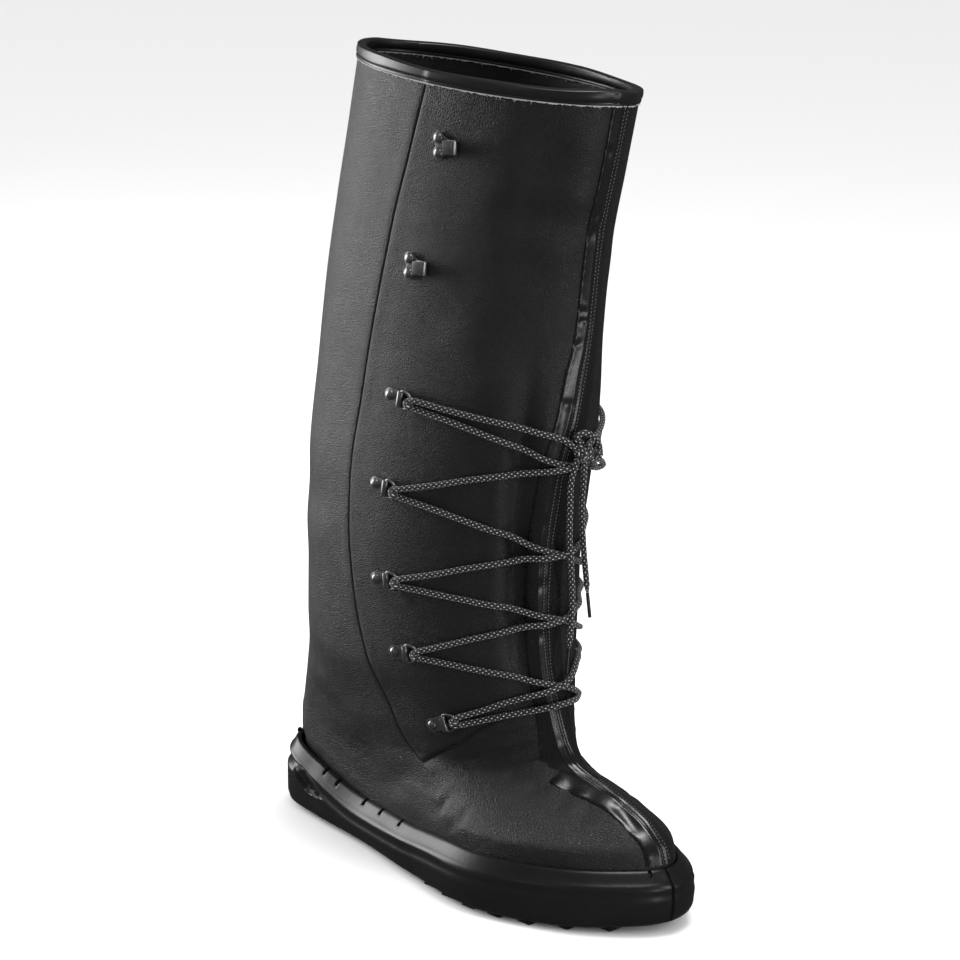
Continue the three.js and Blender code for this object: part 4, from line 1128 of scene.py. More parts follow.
@dataclass
class Upper:
    """The hollow leather shaft, whose lacing panels stand proud in front of the side seams."""

    panel_step: float = 0.0008
    seam_deep: float = 0.0011
    seam_wide: float = 0.0008
    edge_share: float = 0.1
    outer_rows: int = 262
    inner_rows: int = 46
    pitch: float = 0.0029
    corner: float = 0.0825

    # Columns between the tape's edge and the seam's offsets, and from there to the back.
    tape_columns: int = 4
    panel_columns: int = 44
    back_columns: int = 34
    # Distances of the columns beside the side seam, in metres.
    seam_columns: tuple[float, ...] = (
        -0.008, -0.005, -0.0032, -0.0021, -0.0014, -0.0009, -0.0005, -0.0002, 0.0002, 0.0005, 0.0009, 0.0014, 0.0021, 0.0032, 0.005, 0.008,
    )
    # The lacing panel's lower edge, where it is stitched down, from the front to its rear corner.
    edge: Table = Table(
        ("turn", "rise"),
        ((0.03, 0.17), (0.09, 0.163), (0.1395, 0.137), (0.154, 0.124), (0.1825, 0.104), (0.2065, 0.09), (0.2215, 0.0815)),
    )

    def grid(self, share: Array) -> tuple[Array, Array]:
        """Finds the places of rows that follow the panels' lower edges and columns that follow the seams.

        Args:
            share: Each row's share of the way from the lip to the collar.

        Returns:
            Turns and rises, with a row for each share.
        """
        share = np.asarray(share)[:, None]
        rise = share + np.zeros((1, 1))
        for _ in range(3):
            turn = self.columns(rise)
            away = np.minimum(turn % 1, 1 - turn % 1)
            edge = self.edge.at("rise", away)
            low = share / self.edge_share * edge
            high = edge + (share - self.edge_share) / (1 - self.edge_share) * (1 - edge)
            rise = np.where(share < self.edge_share, low, high)
        return turn, rise

    def columns(self, rise: Array) -> Array:
        """Returns the turns of the columns at each row's rise."""
        centre = FORM.front_seam(rise[:, :1])
        half = FORM.turns_at_front(rise[:, :1], FORM.tape_width / 2)
        at_seam = self.tape_columns + self.panel_columns + len(self.seam_columns) // 2
        beside_seam = rise[:, at_seam : at_seam + 1] if rise.shape[1] > 1 else rise
        seam = FORM.side_seam(beside_seam)
        span = FORM.shaft(seam + 2e-3, beside_seam) - FORM.shaft(seam - 2e-3, beside_seam)
        beside = np.array(self.seam_columns)[None] * 4e-3 / np.linalg.norm(span, axis=-1)

        def side(sign: int) -> Array:
            """Returns the turns from the front to the back on one side."""
            start = sign * centre + half
            tape = start - half + half * np.linspace(0, 1, self.tape_columns + 1)[None, 1:]
            near = seam + beside
            panel = start + (near[:, :1] - start) * np.linspace(0, 1, self.panel_columns + 1)[None, 1:-1]
            back = near[:, -1:] + (0.5 - near[:, -1:]) * np.linspace(0, 1, self.back_columns + 1)[None, 1:]
            return np.concatenate([tape, panel, near, back], 1)

        inner = 1 - side(-1)[:, ::-1][:, 1:]
        return np.concatenate([centre, side(1), inner, centre + 1], 1)

    def raised(self, turn: Array, rise: Array) -> Array:
        """Measures the panels' step and the grooves of their seams.

        Args:
            turn: Turns round the section.
            rise: Rises, of the same shape.

        Returns:
            How far the leather stands out from the form.
        """
        away = np.minimum(turn % 1, 1 - turn % 1)
        span = FORM.shaft(away + 2e-3, rise) - FORM.shaft(away - 2e-3, rise)
        behind = (away - FORM.side_seam(rise)) * np.linalg.norm(span, axis=-1) / 4e-3
        above = (rise - self.edge.at("rise", away)) * (FORM.boot_height - FORM.lip_height)
        on_panel = ease(0.0004, -0.0004, behind) * ease(-0.0004, 0.0006, above)
        side = np.exp(-((behind / self.seam_wide) ** 2)) * ease(-0.002, 0.001, above)
        low = np.exp(-((above / 0.001) ** 2)) * ease(0.001, -0.001, behind) * ease(0.05, 0.12, away)
        puff = np.exp(-(((behind - 0.005) / 0.004) ** 2)) + 0.7 * np.exp(-(((behind + 0.0045) / 0.0035) ** 2))
        puff = puff * ease(-0.003, 0.006, above)
        below = np.exp(-(((above + 0.004) / 0.003) ** 2)) * ease(0.004, -0.002, behind) * ease(0.1, 0.15, away)
        return (
            self.panel_step * on_panel * ease(0.0, 0.012, above + 0.012 * ease(0.06, 0.12, away))
            - self.seam_deep * np.maximum(side, 0.8 * low)
            + 0.0005 * puff
            + 0.0005 * below
        )

    def foot_ring(self, share: float, offset: float) -> Array:
        """Returns a row of the part of the wall that stands inside the sole's lip."""
        turns = self.grid(np.array([0.0]))[0][0]
        edge = FORM.outline(turns, FORM.inset - offset)
        x = FORM.outline(turns)[:, 0]
        low = FORM.cup_floor(x) + FORM.gap
        return np.c_[edge[:, 0] - FORM.heel_rest, edge[:, 1], low + (FORM.lip_at(x) - low) * share]

    def shell(self) -> Array:
        """Returns the wall's rows of points, up its outer face and down its inner one."""
        e = self.edge_share
        spread = [0, 0.0006, 0.0013, 0.0022, 0.0034, 0.005]
        low = np.linspace(0, e - 0.007, 62)
        high = e + 0.007 + (1 - e - 0.007) * np.linspace(0, 1, self.outer_rows - 74) ** 1.12
        shares = np.concatenate([low, [e - v for v in spread[::-1]], [e + v for v in spread[1:]], high])
        turn, rise = self.grid(shares)
        outer = FORM.skin(turn, rise, self.raised(turn, rise) + relief(turn, rise))
        turn, rise = self.grid(np.linspace(1, 0, self.inner_rows))
        inner = FORM.skin(turn, rise, -FORM.wall + relief(turn, rise))
        foot = [self.foot_ring(share, 0) for share in (0, 0.5, 0.9)]
        sole = [self.foot_ring(share, -FORM.wall) for share in (0.9, 0.5, 0)]
        return np.concatenate([foot, outer, inner, sole, foot[:1]])

    def edge_line(self, side: Side, steps: int = 160) -> tuple[Array, Array]:
        """Returns the points and normals along a panel's stitched lower edge."""
        away = np.linspace(0.13, 0.2195, steps)
        rise = self.edge.at("rise", away) + 0.0016
        turn = away if side is Side.OUTER else 1 - away
        lift = self.raised(turn, rise) + relief(turn, rise)
        return FORM.skin(turn, rise, lift + 0.00012), FORM.normal(turn, rise)

    def build(self, leather: bpy.types.Material, thread: bpy.types.Material) -> None:
        """Builds the wall and the stitches along the panels' lower edges."""
        shell = sheet("overshoe_upper", self.shell())
        finish_piece(shell, "leather", leather, "upper", angle=70)
        for side in Side:
            line, normals = self.edge_line(side)
            row = stitches(f"panel_stitches_{side.name.lower()}", line, normals, self.pitch, 0.0019, 0.0006)
            finish_piece(row, "leather", thread)


@dataclass
class FrontTape:
    """The glossy tape over the front seam: a smooth flank, a stitched ridge and a flat inner edge."""

    thick: float = 0.0012
    ridge: float = 0.0011
    low: float = 0.003
    binding_height: float = 0.0070
    rows: int = 560
    columns: int = 34
    pitch: float = 0.0022

    # The section across the tape, from its outer edge at -1 to its inner edge at 1, in metres.
    section: Table = Table(
        ("across", "up"),
        (
            (-1, 0.0003), (-0.97, 0.0007), (-0.7, 0.0011), (-0.42, 0.0019), (-0.36, 0.0022), (-0.31, 0.0016), (-0.22, 0.0019),
            (-0.14, 0.0016), (0.0, 0.0022), (0.12, 0.0016), (0.2, 0.0018), (0.3, 0.0012), (0.36, 0.0007), (0.96, 0.0006), (1, 0.0003),
        ),
    )
    # Places where the tape is pinched: rise, where across, how deep, how long and how wide.
    pinches: tuple[tuple[float, ...], ...] = (
        (0.84, -0.62, 0.0007, 0.004, 0.25),
        (0.818, -0.5, 0.0010, 0.005, 0.5),
        (0.925, -0.7, 0.0006, 0.0025, 0.2),
        (0.712, -0.72, 0.0008, 0.0022, 0.25),
        (0.7, -0.62, 0.0007, 0.0020, 0.3),
        (0.668, -0.8, 0.0006, 0.0025, 0.3),
        (0.59, -0.6, 0.0005, 0.0030, 0.4),
        (0.43, -0.6, 0.0006, 0.0040, 0.4),
        (0.34, -0.5, 0.0006, 0.0035, 0.5),
        (0.27, -0.6, 0.0007, 0.0030, 0.4),
        (0.118, -0.3, 0.0004, 0.0024, 0.9),
        (0.108, -0.4, 0.0004, 0.0022, 0.9),
        (0.098, -0.3, 0.0005, 0.0024, 0.9),
        (0.087, -0.4, 0.0004, 0.0026, 0.9),
        (0.077, -0.5, 0.0007, 0.0030, 0.6),
        (0.045, -0.55, 0.0004, 0.0030, 0.4),
    )

    def place(self, upper: Upper, rise: Array, across: Array, proud: Array) -> tuple[Array, Array]:
        """Finds points over the tape's bed.

        Args:
            upper: The upper that carries the tape.
            rise: Rises.
            across: Places across the tape.
            proud: Heights over the bed.

        Returns:
            The points and the turns that they lie at.
        """
        half = FORM.turns_at_front(rise, FORM.tape_width / 2)
        turn = FORM.front_seam(rise) - across * half
        lift = FORM.gap + upper.raised(turn, rise) + relief(turn, rise)
        return FORM.skin(turn, rise, lift + proud), turn

    def height(self, rise: Array, across: Array) -> Array:
        """Returns how proud the tape's face stands, with its pinches."""
        up = self.section.at("up", across)
        tall = FORM.boot_height - FORM.lip_height
        for at, middle, deep, long, wide in self.pinches:
            along = (rise - at) * tall + 0.004 * (across - middle) * math.sin(at * 90)
            up = up - deep * np.exp(-((along / long) ** 2) - ((across - middle) / wide) ** 2)
            up = up + 0.4 * deep * np.exp(-(((along - 1.9 * long) / long) ** 2) - ((across - middle) / wide) ** 2)
        ripple = np.sin(rise * tall / 0.0011 + 5 * np.sin(rise * 31)) * np.exp(-(((across + 0.98) / 0.1) ** 2))
        return np.maximum(up + 0.0001 * ripple, 0.0002)

    def row(self, upper: Upper, name: str, across: float, spans: tuple[tuple[float, float], ...]) -> bpy.types.Object:
        """Lays a row of stitches along the tape.

        Args:
            upper: The upper that carries the tape.
            name: The piece's name.
            across: Where across the tape.
            spans: Low and high rises between which the row shows.

        Returns:
            The joined stitches.
        """
        frames = []
        for low, high in spans:
            rise = np.linspace(low, high, max(8, int((high - low) * 460)))
            wave = across + 0.015 * np.sin(rise * 70 + across * 9)
            points, turn = self.place(upper, rise, wave, self.height(rise, wave) + 0.0001)
            frames += stitch_frames(points, FORM.normal(turn, rise), self.pitch)
        return scatter(name, stitch_stamp(0.00145, 0.00062), frames)

    def build(self, gloss: bpy.types.Material, thread: bpy.types.Material, upper: Upper) -> None:
        """Builds the tape and its rows of stitches."""
        top = 1 - self.binding_height / (FORM.boot_height - FORM.lip_height) + 0.003
        rise = np.concatenate([np.linspace(self.low, 0.15, 190, endpoint=False), np.linspace(0.15, top, self.rows - 190)])[:, None]
        across = np.linspace(-1, 1, self.columns)[None, :]
        rise, across = np.broadcast_arrays(rise, across)
        points, _ = self.place(upper, rise, across, self.height(rise, across))
        under, _ = self.place(upper, rise, across, np.zeros(rise.shape))
        loop = np.concatenate([points, under[:, ::-1], points[:, :1]], 1)
        obj = sheet("front_seam_tape", loop, capped=True)
        finish_piece(obj, "tape", gloss, "front_tape", angle=60)
        whole = ((self.low + 0.004, 0.083), (0.12, top - 0.006))
        for name, at in (("outer", -0.14), ("inner", 0.12)):
            finish_piece(self.row(upper, f"tape_stitches_{name}", at, whole), "braid", thread)


@dataclass
class CollarBinding:
    """The band folded over the collar's edge, stitched near its frayed lower edge."""

    height: float = 0.0068
    thick: float = 0.0010
    columns: int = 360
    pitch: float = 0.0033
    fray: float = 0.0011

    @property
    def low(self) -> float:
        """The rise of the band's lower edge."""
        return 1 - self.height / (FORM.boot_height - FORM.lip_height)

    def turns(self) -> Array:
        """Returns the columns' turns."""
        return np.linspace(0, 1, self.columns + 1)

    def base(self, turns: Array, tape: bool = True) -> Array:
        """Returns how far the band's bed stands from the form, over the panels and the tape."""
        seam = float(FORM.side_seam(np.array(1.0)))
        away = np.minimum(turns, 1 - turns)
        step = 0.0008 * ease(seam + 0.006, seam - 0.004, away)
        half = float(FORM.turns_at_front(np.array(0.99), FORM.tape_width / 2))
        front = np.abs((turns - float(FORM.front_seam(np.array(0.99))) + 0.5) % 1 - 0.5)
        return step + (0.0014 * ease(half * 1.25, half * 0.75, front) if tape else 0)

    def ring(self, turns: Array, height: float, side: int, proud: Array | float) -> Array:
        """Returns a row of the band.

        Args:
            turns: The columns' turns.
            height: The height over the band's lower edge.
            side: 1 outside the wall and -1 inside.
            proud: The height over the band's bed.

        Returns:
            The row's points.
        """
        rise = self.low + height / (FORM.boot_height - FORM.lip_height)
        base = self.base(turns) if side > 0 else -FORM.wall
        return FORM.skin(turns, rise, base + side * (FORM.gap + proud) + relief(turns, np.full_like(turns, 0.985)) * (rise < 1))

    def crown(self, turns: Array, side: float, lift: float) -> Array:
        """Returns a row over the wall's edge, from outside at 1 to inside at -1."""
        outside, inside = self.base(turns) + FORM.gap + self.thick, -FORM.wall - FORM.gap - self.thick
        points = FORM.skin(turns, 1.0, (outside + inside) / 2 + side * (outside - inside) / 2)
        wave = 0.0005 * np.sin(turns * 2 * np.pi * 3 + 1) + 0.0003 * np.sin(turns * 2 * np.pi * 7)
        return points + np.stack([0 * turns, 0 * turns, lift + wave], -1)

    def build(self, leather: bpy.types.Material, thread: bpy.types.Material, fray: bpy.types.Material) -> None:
        """Builds the band, its stitches and its frayed edges."""
        turns = self.turns()
        t, g, h = self.thick, FORM.gap, self.height
        puff = 1 + 0.12 * np.sin(turns * 2 * np.pi * 5) + 0.08 * np.sin(turns * 2 * np.pi * 13 + 2)
        face = ((0.0, 0.0), (0.0001, 0.6), (0.0008, 0.85), (0.0014, 0.75), (0.0019, 0.3), (0.0024, 0.75), (0.0032, 1.05), (0.0044, 1.2), (0.0057, 1.15), (h, 0.95))
        rows = [self.ring(turns, up, 1, t * out * (puff if out > 1 else 1)) for up, out in face]
        for a in np.linspace(15, 165, 9):
            c, k = math.cos(math.radians(a)), math.sin(math.radians(a))
            rows.append(self.crown(turns, c, g + 0.001 * k))
        rows += [self.ring(turns, up, -1, t * out) for up, out in face[::-1]]
        rows += [self.ring(turns, h, -1, 0.0), self.crown(turns, 0.0, g * 0.4), self.ring(turns, h, 1, 0.0), self.ring(turns, 0.0, 1, 0.0)]
        obj = sheet("collar_binding_band", np.array(rows))
        finish_piece(obj, "tape", leather, "collar_binding", angle=60)
        for side, word in ((1, "outer"), (-1, "inner")):
            fine = np.linspace(0, 1, 1400)
            line = self.ring(fine, 0.0019, side, t * 0.42)
            normals = FORM.normal(fine, 0.98) * side
            finish_piece(stitches(f"binding_stitches_{word}", line, normals, self.pitch, 0.0023, 0.0007), "leather", thread)
            self.frayed_edge(side, word, fray)

    def frayed_edge(self, side: int, word: str, fray: bpy.types.Material) -> None:
        """Builds the pale raw edge that shows under the band, with loose fibres."""
        rng = np.random.default_rng(7 if side > 0 else 8)
        count = 1500
        turns = np.linspace(0, 1, count + 1)
        noise = np.interp(turns, np.linspace(0, 1, 420), rng.uniform(0.35, 1, 420)) * rng.uniform(0.75, 1.15, count + 1)
        drop = self.fray * noise
        drop[-1] = drop[0]
        rise_step = FORM.boot_height - FORM.lip_height

        def row(down: Array, proud: float) -> Array:
            """Returns a row below the band's lower edge."""
            rise = self.low - down / rise_step
            base = self.base(turns) if side > 0 else -FORM.wall
            return FORM.skin(turns, rise, base + side * (FORM.gap * 0.4 + proud))

        rows = [row(-0.0008 + 0 * drop, 0.0005), row(drop * 0.5, 0.0007), row(drop, 0.0005), row(drop, 0.0), row(-0.0008 + 0 * drop, 0.0)]
        obj = sheet(f"frayed_edge_{word}", np.array([*rows, rows[0]]))
        finish_piece(obj, "felt", fray, angle=30)
        places = rng.uniform(0, 1, 46)
        stamps = []
        for at in places:
            rise = self.low - self.fray / rise_step
            base = float(self.base(np.array([at]))[0]) if side > 0 else -FORM.wall
            spot = FORM.skin(np.array(at), rise, base + side * 0.0007)
            out = FORM.normal(np.array(at), np.array(rise)) * side
            way = unit(np.array([0, 0, -1.0]) + rng.normal(0, 0.5, 3))
            way = unit(way - out * (way @ out) + out * 0.1)
            stamps.append(Matrix(np.vstack([np.c_[way, np.cross(out, way), out, spot], [0, 0, 0, 1]]).tolist()))
        threads = scatter(f"loose_fibres_{word}", stitch_stamp(0.0026, 0.00026), stamps)
        finish_piece(threads, "felt", fray)


@dataclass
class Seat:
    """A frame on a panel's face: forward to the front seam, up to the collar, out from the leg."""

    turn: float
    rise: float
    lean: float

    def frame(self, side: Side) -> tuple[Vector, Vector, Vector, Vector]:
        """Finds the frame on one side.

        Args:
            side: The side of the overshoe.

        Returns:
            The origin and the forward, up and out directions.
        """
        at = np.array(self.turn if side is Side.OUTER else 1 - self.turn)
        rise = np.array(self.rise)
        out = Vector(FORM.normal(at, rise))
        s = side.value
        to_front = Vector(FORM.shaft(at + 0.002 * s, rise) - FORM.shaft(at - 0.002 * s, rise)).normalized()
        forward = Matrix.Rotation(math.radians(self.lean) * -s, 3, out) @ to_front
        up = out.cross(forward).normalized() * -s
        origin = Vector(FORM.skin(at, rise, 0.0008 + FORM.gap))
        return origin, forward, up, out

    def matrix(self, side: Side) -> Matrix:
        """Returns the frame as a matrix, X forward and Z out."""
        origin, forward, _, out = self.frame(side)
        across = out.cross(forward)
        columns = (forward, across, out, origin)
        return Matrix([[c[k] for c in columns] for k in range(3)] + [[0, 0, 0, 1]])


RINGS = (
    Seat(0.182, 0.14, 18),
    Seat(0.213, 0.234, 5),
    Seat(0.234, 0.331, 0),
    Seat(0.242, 0.459, -9),
    Seat(0.238, 0.579, -9),
)
HOOKS = (Seat(0.232, 0.75, 0), Seat(0.22, 0.91, 3))


@dataclass
class Metalwork:
    """The riveted clips, the rings that hang in them and the open hooks."""

    plate: float = 0.001
    rivet: float = 0.0062
    rivet_rise: float = 0.002
    clip_reach: float = 0.008
    clip_width: float = 0.010
    ring_wire: float = 0.0017
    ring_width: float = 0.0124
    ring_reach: float = 0.0095
    hook_width: float = 0.008
    hook_reach: float = 0.012
    hook_depth: float = 0.005
    hook_rivets: float = 0.0086

    @property
    def eye_inner(self) -> float:
        """The radius inside the clip's rolled end."""
        return self.ring_wire / 2 + FORM.gap

    @property
    def eye_outer(self) -> float:
        """The radius outside the clip's rolled end."""
        return self.eye_inner + 0.0009

    def rivet_head(self, x: float, y: float) -> bpy.types.Object:
        """Models a domed rivet head standing on a plate."""
        deselect()
        bpy.ops.mesh.primitive_uv_sphere_add(segments=24, ring_count=12, radius=self.rivet / 2, location=(x, y, self.plate))
        obj = bpy.context.object
        edit(obj)
        bpy.ops.mesh.bisect(plane_co=(x, y, self.plate), plane_no=(0, 0, 1), clear_inner=True, use_fill=True)
        bpy.ops.mesh.select_all(action="SELECT")
        bpy.ops.transform.resize(value=(1, 1, (self.rivet_rise + 0.0002) / (self.rivet / 2)), center_override=(x, y, self.plate))
        bpy.ops.transform.translate(value=(0, 0, -0.0002))
        close_edit()
        return settle(obj, "rivet")

    def strip(self, outline: list[tuple[float, float]], thick: float, bevel: float) -> bpy.types.Object:
        """Models a flat plate from its outline, with bevelled edges.

        Args:
            outline: The outline's points, in order.
            thick: The plate's thickness.
            bevel: The width of its edges' bevel.

        Returns:
            The plate, lying from Z 0 up.
        """
        deselect()
        bpy.ops.mesh.primitive_circle_add(vertices=len(outline), radius=1, fill_type="NGON")
        obj = bpy.context.object
        obj.data.vertices.foreach_set("co", np.array([(x, y, 0) for x, y in outline]).reshape(-1))
        edit(obj)
        bpy.ops.mesh.extrude_region_move(TRANSFORM_OT_translate={"value": (0, 0, thick)})
        bpy.ops.mesh.select_all(action="SELECT")
        bpy.ops.mesh.normals_make_consistent(inside=False)
        close_edit()
        settle(obj, "plate")
        apply_modifier(obj, "BEVEL", width=bevel, segments=2, limit_method="ANGLE", angle_limit=math.radians(50))
        return obj

    def union(self, parts: list[bpy.types.Object]) -> bpy.types.Object:
        """Joins overlapping parts into one solid."""
        base = parts[0]
        for other in parts[1:]:
            modifier = base.modifiers.new("join", "BOOLEAN")
            modifier.operation = "UNION"
            modifier.solver = "EXACT"
            modifier.object = other
            deselect()
            base.select_set(True)
            bpy.context.view_layer.objects.active = base
            bpy.ops.object.modifier_apply(modifier=modifier.name)
            bpy.data.objects.remove(other)
        return base

    def clip(self) -> bpy.types.Object:
        """Models a clip: a pear-shaped plate, rolled round the ring's bar at its front, and its rivet."""
        r = self.rivet / 2 + 0.0012
        half = self.clip_width / 2
        arc = [(r * math.cos(a), r * math.sin(a)) for a in np.linspace(math.radians(70), math.radians(290), 25)]
        outline = [*arc, (self.clip_reach, -half), (self.clip_reach, half)]
        plate = self.strip(outline, self.plate, 0.00022)
        deselect()
        bpy.ops.mesh.primitive_cylinder_add(
            vertices=28, radius=self.eye_outer, depth=self.clip_width - 0.0006,
            location=(self.clip_reach + self.eye_inner, 0, self.eye_outer), rotation=(math.pi / 2, 0, 0),
        )
        eye = settle(bpy.context.object, "eye")
        apply_modifier(eye, "BEVEL", width=0.0003, segments=2, limit_method="ANGLE", angle_limit=math.radians(50))
        return self.union([plate, eye, self.rivet_head(0, 0)])

    def ring(self) -> bpy.types.Object:
        """Models a D-shaped wire ring with its bar in the clip's rolled end."""
        bar = self.clip_reach + self.eye_inner
        half = self.ring_width / 2 - self.ring_wire / 2
        points = [(bar, y) for y in np.linspace(-half + 0.0012, half - 0.0012, 9)]
        for a in np.linspace(math.pi / 2, -math.pi / 2, 33):
            points.append((bar + 0.0014 + (self.ring_reach - 0.0014) * math.cos(a), half * math.sin(a)))
        loop = np.array([(x, y, self.eye_outer) for x, y in points])
        middle = np.array([bar + self.ring_reach / 2, 0, self.eye_outer])
        ahead = unit(np.roll(loop, -1, 0) - np.roll(loop, 1, 0))
        outwards = np.cross(ahead, (0, 0, 1))
        outwards *= np.sign(((loop - middle) * outwards).sum(-1, keepdims=True))
        angle = np.linspace(0, 2 * np.pi, 13)
        r = self.ring_wire / 2
        rows = loop[:, None] + r * np.cos(angle)[None, :, None] * outwards[:, None] + r * np.sin(angle)[None, :, None] * np.array([0, 0, 1.0])
        return sheet("ring", np.concatenate([rows, rows[:1]]))

    def hook(self) -> bpy.types.Object:
        """Models an open hook: two riveted lobes and a strip turned outwards and back."""
        r = self.rivet / 2 + 0.0009
        c = self.hook_rivets / 2
        outline = []
        for centre, start, end in ((c, 20, 238), (-c, 122, 340)):
            outline += [(r * math.cos(a), centre + r * math.sin(a)) for a in np.linspace(math.radians(start), math.radians(end), 15)]
        plate = self.strip([*outline, (self.hook_reach * 0.62, -self.hook_width / 2), (self.hook_reach * 0.62, self.hook_width / 2)], self.plate, 0.0002)
        top, gauge = self.hook_depth, 0.0012
        side = [(self.hook_reach / 2 - 0.001, 0.0)]
        side += [(self.hook_reach + top / 2 * math.cos(a), top / 2 + top / 2 * math.sin(a)) for a in np.linspace(-math.pi / 2, math.pi / 2, 15)]
        side += [(self.hook_reach * 0.55, top + 0.0008), (self.hook_reach * 0.55, top + 0.0008 - gauge)]
        side += [
            (self.hook_reach + (top / 2 - gauge) * math.cos(a), top / 2 + (top / 2 - gauge) * math.sin(a))
            for a in np.linspace(math.pi / 2, -math.pi / 2, 15)
        ]
        side += [(self.hook_reach / 2 - 0.001, gauge)]
        bend = self.strip(side, self.hook_width, 0.00025)
        bend.data.transform(Matrix.Translation((0, self.hook_width / 2, 0)) @ Matrix.Rotation(math.pi / 2, 4, "X"))
        return self.union([plate, bend, self.rivet_head(0, c), self.rivet_head(0, -c)])

    def copy(self, template: bpy.types.Object, seat: Seat, side: Side, name: str) -> bpy.types.Object:
        """Places a copy of a template, with its own mesh, on a seat."""
        obj = bpy.data.objects.new(name, template.data.copy())
        bpy.context.collection.objects.link(obj)
        obj.data.transform(seat.matrix(side))
        return obj

    def build(self, steel: bpy.types.Material) -> None:
        """Builds the clips, rings and hooks of both sides."""
        clip, ring, hook = self.clip(), self.ring(), self.hook()
        for side in Side:
            word = side.name.lower()
            for k, seat in enumerate(RINGS, 1):
                finish_piece(self.copy(clip, seat, side, f"clip_{word}_{k}"), "metal", steel, f"ring_clip_{word}_{k}")
                finish_piece(self.copy(ring, seat, side, f"ring_{word}_{k}"), "metal", steel, f"lace_ring_{word}_{k}")
            for k, seat in enumerate(HOOKS, 1):
                finish_piece(self.copy(hook, seat, side, f"hook_{word}_{k}"), "metal", steel, f"speed_hook_{word}_{k}")
        for template in (clip, ring, hook):
            bpy.data.objects.remove(template)


